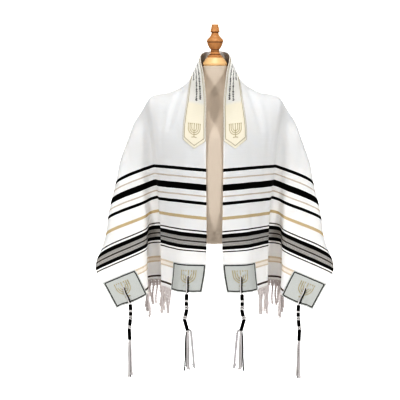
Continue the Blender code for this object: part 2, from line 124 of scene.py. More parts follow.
def wave(tree, length, pitch):
    """sin(2 pi length / pitch), which repeats every `pitch` metres."""
    return maths(tree, "SINE", times(tree, length, 2 * np.pi / pitch))


def share_between(tree, number, low, high):
    """0 below `low`, 1 above `high`, and an even rise between."""
    return node(tree, "MapRange", {0: number, 1: low, 2: high}).outputs[0]


def object_place(tree):
    """The piece's own coordinates, in metres."""
    return node(tree, "TexCoord").outputs["Object"]


def cloth_lengths(tree):
    """The lengths across and along the flat cloth, which the map of every sewn piece holds in metres."""
    flat = node(tree, "SeparateXYZ", {0: node(tree, "UVMap").outputs[0]})
    return flat.outputs[0], flat.outputs[1]


def noise(tree, where, scale, detail=3.0):
    """Cloudy values from 0 to 1, about `scale` clouds to a metre."""
    return node(tree, "TexNoise", {"Vector": where, "Scale": scale, "Detail": detail, "Roughness": 0.55}).outputs[0]


def stretched(tree, where, by):
    """A place multiplied by three numbers, so that a pattern on it is drawn out along an axis."""
    return node(tree, "Mapping", {"Vector": where, "Scale": by}).outputs[0]


print("helpers for patterns ready")

# %% Colour and relief
def mixed(tree, share, a, b, blend="MIX"):
    """Colour a turned into colour b by a share from 0 to 1; a colour is an output, or red, green and blue."""
    a, b = ((*colour, 1.0) if isinstance(colour, tuple) else colour for colour in (a, b))
    return node(tree, "Mix", {0: share, 6: a, 7: b}, data_type="RGBA", blend_type=blend).outputs[2]


def shaded(tree, colour, by):
    """A colour times a number: darker below one, lighter above it."""
    grey = node(tree, "CombineXYZ", {0: by, 1: by, 2: by}).outputs[0]
    return mixed(tree, 1.0, colour, grey, "MULTIPLY")


def coloured(tree, shader, colour, roughness=None):
    """Leads a colour, and a roughness where there is one, into the shader."""
    tree.links.new(colour, shader.inputs["Base Color"])
    if roughness is not None:
        tree.links.new(roughness, shader.inputs["Roughness"])


def bumped(tree, shader, height, strength, distance):
    """Leads a height into the shader's normal, `distance` metres for a height of one."""
    made = node(tree, "Bump", {"Strength": strength, "Distance": distance, "Height": height})
    tree.links.new(made.outputs[0], shader.inputs["Normal"])


print("helpers for colour and relief ready")

# %% [markdown]
# ## Floor and light
# A studio floor is a pale sheet under the stand, and the wall behind is so bright that it reads as white.
# We could build a curved backdrop, but a small round floor and a white world give the same look from any side.
# Both look brighter to the camera than the light they shed, so they stay white without washing out the cloth.
# Two soft lights stand left and right in front, as for clothes in a shop window: each one throws the shadow of
# a front edge on the form behind it. A weaker one in front, one above and two behind fill the rest. All are
# weak, because the view's own high contrast brightens pale cloth.

# %% Floor, lights and world
FLOOR_RADIUS, FLOOR_SIDES, FLOOR_DROP = 1.5, 96, 0.0005
FLOOR_SHEDS, FLOOR_LOOKS_MORE, WORLD_SHEDS, WORLD_LOOKS_MORE = 0.22, 0.60, 0.19, 0.81
LIGHTS = (  # name, place, what it points at, metres across, watts
    ("left_light", (-2.55, -2.54, 2.15), (0.0, 0.0, 1.25), 0.6, 29.0),
    ("right_light", (2.55, -2.54, 2.15), (0.0, 0.0, 1.25), 0.6, 29.0),
    ("left_back_light", (-1.9, 2.9, 1.9), (0.0, 0.0, 1.2), 1.0, 14.0),
    ("right_back_light", (1.9, 2.9, 1.9), (0.0, 0.0, 1.2), 1.0, 14.0),
    ("top_light", (0.0, -0.9, 3.5), (0.0, 0.0, 1.3), 1.2, 14.0),
    ("front_light", (0.0, -3.8, 1.6), (0.0, 0.0, 1.1), 1.2, 9.0),
)


def around(count):
    """Angles evenly round a full turn."""
    return np.linspace(0, 2 * np.pi, count, endpoint=False)


def glow(tree, sheds, looks_more):
    """A strength: `sheds` for the light it casts, and `looks_more` on top of that for what the camera sees."""
    return maths(tree, "MULTIPLY_ADD", node(tree, "LightPath").outputs["Is Camera Ray"], looks_more, sheds)


turn = around(FLOOR_SIDES)
rim = np.stack([FLOOR_RADIUS * np.cos(turn), FLOOR_RADIUS * np.sin(turn), np.full(FLOOR_SIDES, -FLOOR_DROP)], 1)
floor_mesh = bpy.data.meshes.new("floor")
floor_mesh.from_pydata(rim.tolist(), [], [list(range(FLOOR_SIDES))])
floor = bpy.data.objects.new("floor", floor_mesh)
bpy.context.scene.collection.objects.link(floor)
pale_floor, tree, shader = finish("pale_floor", (0.9, 0.9, 0.9), 0.9, Emission_Color=(1.0, 1.0, 1.0, 1.0))
tree.links.new(glow(tree, FLOOR_SHEDS, FLOOR_LOOKS_MORE), shader.inputs["Emission Strength"])
floor_mesh.materials.append(pale_floor)

for name, place, aim, size, power in LIGHTS:
    data = bpy.data.lights.new(name, "AREA")
    data.shape, data.size, data.energy = "DISK", size, power
    made = bpy.data.objects.new(name, data)
    made.location = place
    made.rotation_euler = (Vector(aim) - Vector(place)).to_track_quat("-Z", "Y").to_euler()
    bpy.context.scene.collection.objects.link(made)

world = bpy.data.worlds.new("studio")
world.use_nodes = True
bpy.context.scene.world = world
background = world.node_tree.nodes["Background"]
background.inputs[0].default_value = (1.0, 1.0, 1.0, 1.0)
world.node_tree.links.new(glow(world.node_tree, WORLD_SHEDS, WORLD_LOOKS_MORE), background.inputs[1])
bpy.context.scene.view_settings.view_transform = "Standard"
bpy.context.scene.view_settings.look = "Very High Contrast"
print("lights:", len(LIGHTS))

# %% [markdown]
# ## Surfaces from arrays
# Every new piece is a part or several parts: points, a map of the surface, four-cornered and three-cornered
# faces. A part could be drawn point by point, but numpy works out whole arrays at once, which is fast and
# keeps the shape's formula in one line. One helper joins parts, and writes them into a mesh in one go.

# %% Parts and their faces
Part = namedtuple("Part", "points uv quads triangles look")
NO_TRIANGLES = np.zeros((0, 3), int)


def grid_faces(rows, columns, wrap=False, flip=False):
    """Cell (i, j) of a grid joins points (i, j), (i, j+1), (i+1, j+1) and (i+1, j); `wrap` closes each row."""
    i = np.arange(rows - 1)[:, None]
    j = np.arange(columns if wrap else columns - 1)[None, :]
    a, b = i * columns + j, i * columns + (j + 1) % columns
    faces = np.stack([a, b, b + columns, a + columns], axis=-1).reshape(-1, 4)
    return faces[:, ::-1] if flip else faces


def length_along(path):
    """The way along a line of points, from the first to each of them."""
    return np.concatenate([[0], np.cumsum(np.linalg.norm(np.diff(path, axis=0), axis=1))])


def end_fans(count, sides):
    """Faces that close both ends of `count` rings, with two middle points that come after the rings' own."""
    j, k = np.arange(sides), (np.arange(sides) + 1) % sides
    first, last = count * sides, (count - 1) * sides
    return np.concatenate([np.stack([np.full(sides, first), k, j], 1),
                           np.stack([np.full(sides, first + 1), last + j, last + k], 1)])


print("helpers for faces ready")

# %% From parts to a piece
def piece(name, parts, looks, replaces=(), smooth=True):
    """Joins parts into one mesh object at the origin, riding on the only body."""
    start = np.cumsum([0] + [len(p.points) for p in parts])
    quads = np.concatenate([p.quads + o for p, o in zip(parts, start)])
    threes = np.concatenate([p.triangles + o for p, o in zip(parts, start)])
    corners = np.concatenate([quads.ravel(), threes.ravel()]).astype(np.int32)
    sizes = np.concatenate([np.full(len(quads), 4), np.full(len(threes), 3)])
    look = np.concatenate([np.full(len(p.quads), p.look) for p in parts]
                          + [np.full(len(p.triangles), p.look) for p in parts])
    points, uv = (np.concatenate([getattr(p, field) for p in parts]) for field in ("points", "uv"))
    mesh = bpy.data.meshes.new(name)
    mesh.vertices.add(len(points))
    mesh.vertices.foreach_set("co", points.astype(np.float32).ravel())
    mesh.loops.add(len(corners))
    mesh.loops.foreach_set("vertex_index", corners)
    mesh.polygons.add(len(sizes))
    mesh.polygons.foreach_set("loop_start", np.concatenate([[0], np.cumsum(sizes)[:-1]]).astype(np.int32))
    mesh.polygons.foreach_set("use_smooth", np.full(len(sizes), smooth))
    mesh.polygons.foreach_set("material_index", look.astype(np.int32))
    mesh.uv_layers.new(name="UVMap").data.foreach_set("uv", uv[corners].astype(np.float32).ravel())
    mesh.update(calc_edges=True)
    mesh.validate()
    for material in looks:
        mesh.materials.append(material)
    made = bpy.data.objects.new(name, mesh)
    bpy.context.scene.collection.objects.link(made)
    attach(made, "root")
    if replaces:
        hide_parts(*replaces)
    print(f"{name}: {len(points)} points, {len(sizes)} faces")
    return made


def walled(made, thickness):
    """Gives a sheet its wall, half on each side."""
    wall = made.modifiers.new("wall", "SOLIDIFY")
    wall.thickness, wall.offset, wall.use_rim = thickness, 0.0, True
    return made


print("helpers for a piece and its wall ready")

# %% [markdown]
# A cord, a braid or a stitch is a tube carried along a path. Blender's curves have a bevel that does this, but
# here the radius may change from ring to ring and from point to point, which gives twisted and wound cords.

# %% Tubes
def tube(path, radius, sides, up=(0.0, -1.0, 0.0), flat=1.0, closed=False, look=0):
    """A tube round a path: centre + across * radius * cos(t) + up * radius * flat * sin(t), t once round.

    `across` and `up` are square to the path. `radius` is one number, one for each ring, or one for each point.
    """
    path = np.asarray(path, float)
    count = len(path)
    ahead = np.roll(path, -1, 0) - np.roll(path, 1, 0) if closed else np.gradient(path, axis=0)
    ahead /= np.linalg.norm(ahead, axis=1, keepdims=True)
    across = np.cross(np.broadcast_to(np.asarray(up, float), path.shape), ahead)
    across /= np.linalg.norm(across, axis=1, keepdims=True)
    raised = np.cross(ahead, across)
    t = 2 * np.pi * np.arange(sides) / sides
    size = np.broadcast_to(np.asarray(radius, float).reshape(-1, 1) if np.ndim(radius) == 1
                           else np.asarray(radius, float), (count, sides))[..., None]
    rings = path[:, None] + size * (across[:, None] * np.cos(t)[:, None]
                                    + flat * raised[:, None] * np.sin(t)[:, None])
    uv = np.stack(np.broadcast_arrays(length_along(path)[:, None], t[None] / (2 * np.pi)), -1).reshape(-1, 2)
    points, quads = rings.reshape(-1, 3), grid_faces(count, sides, wrap=True)
    if closed:
        j, k, last = np.arange(sides), (np.arange(sides) + 1) % sides, (count - 1) * sides
        quads = np.concatenate([quads, np.stack([last + j, last + k, k, j], axis=1)])
        return Part(points, uv, quads, NO_TRIANGLES, look)
    points = np.concatenate([points, path[[0, -1]]])
    return Part(points, np.concatenate([uv, uv[[0, -1]]]), quads, end_fans(count, sides), look)


print("helper for tubes ready")

# %% [markdown]
# ## How the cloth lies
# The real shawl is one flat rectangle, about 1.92 m by 0.60 m, laid over the shoulders. A cloth simulation
# would find some drape, but never this one, so the lie is a formula: a row is a line straight across the
# cloth, and a short table says where rows at some distances from the middle of the back cross nine fold
# lines. A cubic runs through those places down the cloth and then across it, and distances are measured
# along the curve, so the cloth is never stretched. The numbers are the solid's own, so the thin cloth lies
# where the solid does.

# %% Sizes and the table of rows
HALF_LENGTH, WIDTH = 0.960, 0.600
BAND_WIDTH, BAND_SHOULDER, BAND_TIP = 0.088, 0.420, 0.449
PATCH_ALONG, PATCH_ACROSS = 0.103, 0.130
FOLD_LINES = ("neck_edge", "panel", "crest", "pleat_in", "pleat_out", "lap", "side", "turn", "outer_edge")
ROWS = {  # distance from the middle of the back; for each fold line, millimetres to the side, back and up
    0.00: ((0, 68, 1470), (0, 115, 1378), (0, 138, 1285), (0, 140, 1265), (0, 142, 1245), (0, 143, 1225),
           (0, 144, 1185), (0, 140, 1055), (0, 135, 885)),
    0.09: ((50, 22, 1456), (75, 82, 1385), (96, 125, 1298), (99, 131, 1280), (101, 136, 1260), (103, 139, 1240),
           (105, 143, 1200), (106, 145, 1070), (95, 143, 900)),
    0.18: ((40, -55, 1388), (90, 16, 1360), (173, 72, 1311), (186, 90, 1298), (196, 105, 1284), (203, 118, 1265),
           (210, 135, 1228), (214, 155, 1100), (185, 160, 940)),
    0.27: ((31, -113, 1305), (96, -53, 1312), (229, 0, 1306), (242, 20, 1293), (253, 36, 1276), (264, 50, 1257),
           (284, 68, 1218), (296, 120, 1100), (282, 155, 985)),
    0.38: ((30, -129, 1199), (112, -94, 1203), (219, -34, 1198), (238, 0, 1192), (255, 8, 1187), (274, 10, 1182),
           (308, 20, 1170), (336, 80, 1060), (326, 140, 930)),
    0.52: ((30, -130, 1059), (115, -96, 1062), (206, -28, 1061), (226, 22, 1055), (244, 32, 1048), (268, 30, 1040),
           (358, 30, 997), (374, 80, 937), (364, 125, 870)),
    0.66: ((28.5, -133, 919), (115, -98, 922), (199, -28, 920), (214, 38, 915), (238, 46, 907), (262, 22, 896),
           (390, 12, 844), (402, 45, 816), (398, 75, 786)),
    0.80: ((28, -135, 779), (119, -109, 781), (196, -32, 781), (203, 42, 776), (246, 52, 769), (255, -5, 757),
           (370, -25, 707), (415, -42, 689), (434, -50, 680)),
    0.88: ((31, -136, 700), (118, -121, 698), (196, -34, 696), (200, 55, 686), (252, 60, 679), (254, -20, 667),
           (336, -45, 634), (377, -65, 621), (395, -76, 615)),
    0.96: ((44, -136, 619), (124, -124, 617), (195, -36, 615), (200, 62, 612), (254, 67, 606), (247, -36, 584),
           (295, -63, 562), (335, -88, 555), (355, -100, 548)),
}
print("rows in the table:", len(ROWS))

# %% [markdown]
# The cubic is the usual one between two values with two slopes, where a knot's slope is the mean of the
# chords beside it. Here it works on many curves at once: `knots` and `values` have a line for each curve.

# %% The cubic and a soft step
def smooth_curves(knots, values, at):
    """Cubics through values (n, k, 3) at knots (n, k), read at (n, m)."""
    gap = np.diff(knots, axis=1)[..., None]
    chord = np.diff(values, axis=1) / gap
    middle = (chord[:, :-1] * gap[:, 1:] + chord[:, 1:] * gap[:, :-1]) / (gap[:, :-1] + gap[:, 1:])
    slope = np.concatenate([chord[:, :1], middle, chord[:, -1:]], axis=1)
    i = (at[:, :, None] >= knots[:, None, 1:-1]).sum(axis=2)
    low, high, rise, leave, h = (np.take_along_axis(a, k[..., None], axis=1) for a, k in (
        (values, i), (values, i + 1), (slope, i), (slope, i + 1), (gap, i)))
    t = (at - np.take_along_axis(knots, i, axis=1))[..., None] / h
    return ((2 * t**3 - 3 * t**2 + 1) * low + (t**3 - 2 * t**2 + t) * h * rise
            + (3 * t**2 - 2 * t**3) * high + (t**3 - t**2) * h * leave)


def blend(low, high, value):
    """0 below `low`, 1 above `high`, and a soft step between."""
    t = np.clip((value - low) / (high - low), 0.0, 1.0)
    return t * t * (3 - 2 * t)


print("helpers for curves ready")

# %% [markdown]
# The cloth becomes a grid with a point every 2.5 mm both ways. The crest, where the front turns to the side,
# is a sharp line at the hem and is rounded off higher up, where the cloth lies over the chest.

# %% The cloth as a grid
STEP = 0.0025
ALONG = np.linspace(-HALF_LENGTH, HALF_LENGTH, 769)
ACROSS = np.linspace(0.0, WIDTH, 241)
BACK_WAVE, BACK_WAVE_LENGTH = 0.008, 0.165


def running(steps, power=1.0):
    """For each row of points: 0, then the lengths of the steps between them, to a power, added up."""
    lengths = np.cumsum(np.linalg.norm(np.diff(steps, axis=1), axis=2) ** power, axis=1)
    return np.concatenate([np.zeros((len(steps), 1)), lengths], axis=1)


def cloth_lie():
    """The cloth's middle surface: cubics down the cloth through the table, then a cubic across each row."""
    stations = sorted(ROWS)
    knots = np.array([-s for s in stations[:0:-1]] + stations)
    rows = np.array([np.array(ROWS[abs(k)]) / 1000.0 * ((-1.0, 1.0, 1.0) if k < 0 else 1.0)
                     for k in np.round(knots, 4)])
    folds = smooth_curves(knots[None], rows.reshape(1, len(knots), -1), ALONG[None])[0]
    folds = folds.reshape(len(ALONG), len(FOLD_LINES), 3)
    panel, crest, pleat = (folds[:, FOLD_LINES.index(name)] for name in ("panel", "crest", "pleat_in"))
    before, after = crest + (panel - crest) * 0.20, crest + (pleat - crest) * 0.22
    soft = 0.75 * (1 - blend(0.50, 0.72, np.abs(ALONG)))[:, None]
    crest = crest + ((before + after) / 2 - crest) * soft
    folds = np.concatenate([folds[:, :2], before[:, None], crest[:, None], after[:, None], folds[:, 3:]], axis=1)
    reach = running(folds, 0.5)
    fine = smooth_curves(reach, folds, np.linspace(0, 1, 400)[None] * reach[:, -1:])
    run = running(fine)
    # Each row's share of its length is a number from 0 to 1, moved on by 2 a row, so one call reads them all.
    row = 2.0 * np.arange(len(ALONG))[:, None]
    known, wanted = (run / run[:, -1:] + row).ravel(), (ACROSS[None] / WIDTH + row).ravel()
    lie = np.stack([np.interp(wanted, known, fine[..., k].ravel()) for k in range(3)], axis=1)
    return lie.reshape(len(ALONG), len(ACROSS), 3)


def outward(surface):
    """Unit normals facing out of the garment: the way along crossed with the way across."""
    normal = np.cross(np.gradient(surface, axis=0), np.gradient(surface, axis=1))
    return normal / np.linalg.norm(normal, axis=2, keepdims=True)


U, V = ALONG[:, None], ACROSS[None]
plain_cloth = cloth_lie()
plain_cloth[..., 1] += (BACK_WAVE * np.cos(2 * np.pi * U / BACK_WAVE_LENGTH) * blend(0.16, 0.50, V)
                        * (1 - blend(0.22, 0.40, np.abs(U))))
PLAIN_OUT = outward(plain_cloth)
print("cloth grid:", plain_cloth.shape)

# %% [markdown]
# ## Soft creases
# Hung cloth isn't smooth: soft troughs run down from the collar, ridges fall from the shoulders, and the
# cloth puckers where a patch or a cord is sewn to it. A simulation would scatter them, so they are listed one
# by one. Each is a line on the flat cloth with a width and a height: the height fades to both sides as a bell
# curve and dies out at both ends. Each crease lies on both halves of the shawl, a little stronger on one.

# %% Table of creases
CREASES = (  # along and across at one end, then at the other; half width; height (below zero for a trough)
    (0.17, 0.106, 0.40, 0.150, 0.013, -0.0050),
    (0.22, 0.135, 0.44, 0.178, 0.014, 0.0022),
    (0.30, 0.165, 0.50, 0.190, 0.012, -0.0018),
    (0.10, 0.150, 0.30, 0.190, 0.016, -0.0030),
    (0.42, 0.110, 0.70, 0.120, 0.020, -0.0015),
    (0.50, 0.165, 0.86, 0.160, 0.016, 0.0018),
    (0.66, 0.120, 0.87, 0.135, 0.010, -0.0016),
    (0.34, 0.330, 0.60, 0.380, 0.014, -0.0030),
    (0.30, 0.380, 0.62, 0.440, 0.018, 0.0034),
    (0.46, 0.420, 0.80, 0.470, 0.014, -0.0026),
    (0.58, 0.400, 0.86, 0.440, 0.012, 0.0022),
    (0.30, 0.470, 0.60, 0.540, 0.014, -0.0030),
    (0.26, 0.520, 0.50, 0.570, 0.016, 0.0035),
    (0.02, 0.180, 0.06, 0.520, 0.018, -0.0030),
    (0.09, 0.160, 0.13, 0.470, 0.016, 0.0035),
    (0.15, 0.200, 0.21, 0.560, 0.018, -0.0040),
    (0.20, 0.240, 0.30, 0.560, 0.014, 0.0030),
    (0.05, 0.100, 0.16, 0.160, 0.014, -0.0025),
    (0.70, 0.240, 0.90, 0.262, 0.010, -0.0016),
    (0.72, 0.490, 0.90, 0.500, 0.012, -0.0018),
)
print("creases:", len(CREASES))

# %% Height of the creases
EYELET_IN, EYELET_ACROSS = 0.058, 0.060                 # in from the hem and from the side edge
SIDE_DIFFERENCE, RIPPLE = 0.18, 0.0006
RING_PUCKER, RING_FAR, RING_WIDE = 0.0016, 0.018, 0.014         # ripples round an eyelet
HEM_PUCKER, HEM_WIDE = 0.0022, 0.034                            # ripples from it down to the hem


def crease_height(u, v):
    """How far each point of the flat cloth is pushed out: a bell curve for each crease, and puckers at eyelets."""
    table = np.array(CREASES)[:, :, None, None]
    a_u, a_v, b_u, b_v, width, height = (table[:, k] for k in range(6))
    p, q = np.abs(u)[None], v[None]
    length2 = (b_u - a_u) ** 2 + (b_v - a_v) ** 2
    share = np.clip(((p - a_u) * (b_u - a_u) + (q - a_v) * (b_v - a_v)) / length2, 0, 1)
    away = np.hypot(p - a_u - share * (b_u - a_u), q - a_v - share * (b_v - a_v))
    side = 1 + SIDE_DIFFERENCE * np.sign(u)[None] * np.sin(np.arange(len(CREASES)) * 2.3)[:, None, None]
    total = (height * side * np.exp(-(away / width) ** 2) * np.sin(np.pi * share) ** 0.7).sum(axis=0)
    for across in (EYELET_ACROSS, WIDTH - EYELET_ACROSS):
        du, dv = np.abs(u) - (HALF_LENGTH - EYELET_IN), v - across
        far, angle = np.hypot(du, dv), np.arctan2(dv, du)
        total = total + RING_PUCKER * np.cos(5 * angle + 0.8) * np.exp(-((far - RING_FAR) / RING_WIDE) ** 2)
        total = total + (HEM_PUCKER * np.sin(190 * dv + 18 * du) * np.exp(-(dv / HEM_WIDE) ** 2)
                         * blend(0.012, 0.05, du))
    return total + RIPPLE * np.sin(23 * u + 31 * v) * np.sin(17 * v - 9 * u + 1.0)


SURFACE = plain_cloth + PLAIN_OUT * crease_height(U, V)[..., None]
OUT = outward(SURFACE)
print("largest crease: %.1f mm" % (1000 * np.abs(crease_height(U, V)).max()))

# %% [markdown]
# Everything sewn to the cloth has to find it. A ray could be shot at the mesh, but the cloth is a grid of known
# lengths, so any place on the flat cloth is read straight from its four nearest points.

# %% Reading places on the cloth
def read_grid(field, u, v):
    """A value kept on the cloth's grid, read between its points by the four nearest, each by its share."""
    a = np.clip((np.asarray(u) + HALF_LENGTH) / STEP, 0, len(ALONG) - 1.001)
    b = np.clip(np.asarray(v) / STEP, 0, len(ACROSS) - 1.001)
    a, b = np.broadcast_arrays(a, b)
    i, j = a.astype(int), b.astype(int)
    s, t = (a - i)[..., None], (b - j)[..., None]
    return ((1 - s) * (1 - t) * field[i, j] + s * (1 - t) * field[i + 1, j]
            + (1 - s) * t * field[i, j + 1] + s * t * field[i + 1, j + 1])


def on_cloth(u, v, lift=0.0):
    """Points `lift` metres out from the cloth at flat lengths u and v, and the way out there."""
    out = read_grid(OUT, u, v)
    out = out / np.linalg.norm(out, axis=-1, keepdims=True)
    return read_grid(SURFACE, u, v) + out * np.asarray(lift)[..., None], out


print("middle of the left hem:", on_cloth(HALF_LENGTH, WIDTH / 2)[0].round(3))

# %% [markdown]
# ## The shawl's cloth
# Stripes on such a cloth are woven in: the yarns along its length stay white and the yarns across it change
# colour. The map of the mesh holds the two lengths of the flat cloth in metres, so a stripe is a range of one
# number, and a colour ramp with hard steps lists them. A ramp is kept as a table of 256 colours, too coarse
# for thin lines over the whole length, so four ramps share it. Fine waves of the same two lengths raise the
# weave, and the grey bands are hairlines of black and white too thin to tell apart.

# %% Stripes, their colours and their ramp
BLACK, GREY, GOLD, TAN, PEACH, WHITE = ((0.006, 0.0056, 0.005), (0.36, 0.355, 0.345), (0.60, 0.49, 0.33),
                                        (0.64, 0.56, 0.49), (0.86, 0.79, 0.72), (0.93, 0.912, 0.888))
DARK, BROWN, ASH, SAND = (0.035, 0.029, 0.024), (0.10, 0.08, 0.07), (0.58, 0.57, 0.55), (0.70, 0.60, 0.49)
STRIPES = (  # for each ramp, its start and end along the cloth, and its stripes: start, end, colour
    (0.50, 0.60, ((0.5160, 0.5264, BLACK), (0.5472, 0.5522, TAN), (0.5722, 0.5942, BLACK))),
    (0.60, 0.70, ((0.6116, 0.6166, TAN), (0.6342, 0.6442, BLACK), (0.6860, 0.6970, GOLD))),
    (0.70, 0.83, ((0.7368, 0.7408, DARK), (0.7486, 0.7617, BLACK), (0.7617, 0.7661, GREY), (0.7661, 0.7671, ASH),
                  (0.7671, 0.7708, GREY), (0.7708, 0.7718, ASH), (0.7718, 0.7752, GREY), (0.7752, 0.7787, DARK),
                  (0.7787, 0.7822, GREY), (0.7822, 0.7832, ASH), (0.7832, 0.7872, GREY), (0.7872, 0.7882, ASH),
                  (0.7882, 0.7920, GREY), (0.7920, 0.8033, BLACK), (0.8092, 0.8128, DARK))),
    (0.83, 0.97, ((0.8574, 0.8634, SAND), (0.8634, 0.8742, PEACH), (0.8742, 0.8792, SAND), (0.9370, 0.9438, BROWN))),
)


def stripe_ramp(tree, length, low, high, stripes):
    """A ramp with hard steps: white, then each stripe from its start to its end."""
    factor = maths(tree, "DIVIDE", maths(tree, "SUBTRACT", length, low), high - low)
    ramp = node(tree, "ValToRGB", {0: factor})
    ramp.color_ramp.interpolation = "CONSTANT"
    ramp.color_ramp.elements[0].color = (*WHITE, 1.0)
    ramp.color_ramp.elements.remove(ramp.color_ramp.elements[1])
    ends = {start: WHITE for _, start, _ in stripes}
    ends.update({start: colour for start, _, colour in stripes})
    for place in sorted(ends):
        ramp.color_ramp.elements.new((place - low) / (high - low)).color = (*ends[place], 1.0)
    return ramp.outputs[0]


print("stripes woven:", sum(len(s) for _, _, s in STRIPES))

# %% Striped white cloth
YARN_PITCH, HAIRLINE_PITCH = 0.0014, 0.0024
GREY_BANDS, DARK_LINE = ((0.77285, 0.01235), (0.78605, 0.0073)), (0.77695, 0.0018)      # middle, half width
striped_cloth, tree, shader = finish("striped_white_cloth", WHITE, 0.85, Sheen_Weight=0.02,
                                     Specular_IOR_Level=0.15, Subsurface_Weight=0.55,
                                     Subsurface_Radius=(1.0, 0.9, 0.8), Subsurface_Scale=0.004)
across, along = cloth_lengths(tree)
place = object_place(tree)
ragged = maths(tree, "MULTIPLY_ADD", noise(tree, place, 260.0, 2.0), 0.0009, -0.00045)
wobble = maths(tree, "MULTIPLY_ADD", noise(tree, place, 14.0, 2.0), 0.0016, -0.0008)
along = maths(tree, "ADD", along, maths(tree, "ADD", ragged, wobble))
dyed = stripe_ramp(tree, along, *STRIPES[0])
for band in STRIPES[1:]:
    dyed = mixed(tree, maths(tree, "GREATER_THAN", along, band[0]), dyed, stripe_ramp(tree, along, *band))
upper, lower = (maths(tree, "COMPARE", along, *band) for band in GREY_BANDS)
upper = times(tree, upper, maths(tree, "GREATER_THAN", distance_from(tree, along, DARK_LINE[0]), DARK_LINE[1]))
hairlines = times(tree, maths(tree, "MAXIMUM", upper, lower), times(tree, wave(tree, along, HAIRLINE_PITCH), 0.55))
dyed = shaded(tree, dyed, maths(tree, "ADD", hairlines, 1.0))
slubs = noise(tree, node(tree, "CombineXYZ", {0: times(tree, across, 9.0), 1: times(tree, along, 420.0)}).outputs[0],
              1.0)
cloudy = times(tree, noise(tree, place, 5.0, 2.0), 0.02)
dyed = shaded(tree, dyed, maths(tree, "ADD", maths(tree, "MULTIPLY_ADD", slubs, 0.045, 0.95), cloudy))
coloured(tree, shader, dyed)
weft, warp = wave(tree, along, YARN_PITCH), wave(tree, across, YARN_PITCH)
weave = maths(tree, "ADD", times(tree, warp, 0.35), maths(tree, "ADD", weft, times(tree, slubs, 2.5)))
bumped(tree, shader, weave, 0.35, 0.00012)
print("nodes in the cloth's material:", len(tree.nodes))

# %% [markdown]
# The real cloth is one piece, a millimetre thick where it hangs. Every other point of the fine grid is enough
# for its mesh. The wall could be a second grid, but the Solidify modifier makes it, and its rim, in one step.

# %% Shawl
def sheet_part(u, v, lift):
    """A grid of the cloth's points at u (n, m) and v (n, m), facing out, mapped by the flat cloth's lengths."""
    points, _ = on_cloth(u, v, lift)
    uv = np.stack([v, np.abs(u)], axis=-1)
    return Part(points.reshape(-1, 3), uv.reshape(-1, 2), grid_faces(*u.shape, flip=True), NO_TRIANGLES, 0)


SHAWL_WALL = 0.0010
u, v = np.broadcast_arrays(ALONG[::2, None], ACROSS[None, ::2])
shawl = walled(piece("shawl_cloth", [sheet_part(u, v, 0.0)], [striped_cloth], ["shawl"]), SHAWL_WALL)

# %% [markdown]
# ## The neckband
# A band of satin is sewn over the edge that goes round the neck, so that the wearer knows which edge is the
# top. Its ends are cut to a point. A plane could be bent to it, but the cloth's own grid serves again: the
# length along runs to a limit that is longest at the band's middle. The satin is white behind the neck and
# cream at both ends, with a small damask figure, and it puckers along its seam.

# %% Neckband satin
FIGURE_PITCH, RIB_PITCH, CREAM_FROM, CREAM_TO, CREAM_HALF = 0.011, 0.0011, 0.286, 0.300, 0.0385
satin_band, tree, shader = finish("neckband_satin", (0.9, 0.9, 0.87), 0.55, Specular_IOR_Level=0.3)
across, along = cloth_lengths(tree)
creamy = share_between(tree, along, CREAM_FROM, CREAM_TO)
inside = maths(tree, "LESS_THAN", distance_from(tree, across, BAND_WIDTH / 2), CREAM_HALF)
figure = times(tree, wave(tree, maths(tree, "ADD", across, along), FIGURE_PITCH),
               wave(tree, maths(tree, "SUBTRACT", across, along), FIGURE_PITCH))
raised = share_between(tree, figure, 0.25, 0.45)
tint = mixed(tree, times(tree, creamy, inside), (0.82, 0.805, 0.76), (0.87, 0.82, 0.69))
tint = mixed(tree, times(tree, raised, 0.05), tint, (0.45, 0.42, 0.33))
coloured(tree, shader, tint, maths(tree, "MULTIPLY_ADD", raised, -0.16, 0.52))
bumped(tree, shader, maths(tree, "ADD", raised, times(tree, wave(tree, along, RIB_PITCH), 0.4)), 0.4, 0.00018)
print("nodes in the neckband's satin:", len(tree.nodes))

# %% Neckband
BAND_LIFT, SEWN_WALL = 0.0013, 0.0009


def band_end(v):
    """How far the band reaches at distance v across it: furthest at its middle."""
    return BAND_SHOULDER + (BAND_TIP - BAND_SHOULDER) * (1 - np.abs(v - BAND_WIDTH / 2) / (BAND_WIDTH / 2))


def sewn_lift(edge, waves, lift, swell, reach, pucker, fade):
    """Height over the cloth: lift, plus `swell` once inside the seam, plus pucker * sin(waves) beside it."""
    return lift + swell * blend(*reach, edge) + pucker * np.sin(waves) * np.exp(-(edge / fade) ** 2)


v = np.linspace(0.0, BAND_WIDTH, 33)[None]
u, v = np.broadcast_arrays(np.linspace(-1.0, 1.0, 401)[:, None] * band_end(v), v)
lift = sewn_lift(np.minimum(v, BAND_WIDTH - v), u * 480, BAND_LIFT, 0.0007, (0.002, 0.016), 0.00035, 0.007)
neckband = walled(piece("neckband_cloth", [sheet_part(u, v, lift)], [satin_band], ["neckband"]),
                  SEWN_WALL)

# %% [markdown]
# ## Braids, borders and gold thread
# Sewn lines are round or flat cords that lie on the cloth. A curve with a bevel could draw them, but it
# wouldn't follow the creases: each line here is a path on the flat cloth, read on the draped one, with an oval
# tube carried along it. The traditional seven-branched lamp is a stem, three pairs of arms that are half
# circles with one centre, and a foot, and we draw it as thick satin stitches.

# %% Stitched lines and the lamp
ARM_SHARES, ARM_TOP, FOOT = (1.0, 0.70, 0.40), 0.62, -1.42         # of the outer arm's reach to one side
CUP_SHARES, CUP_HALF = (1.0, -1.0, 0.70, -0.70, 0.40, -0.40, 0.0), 0.002


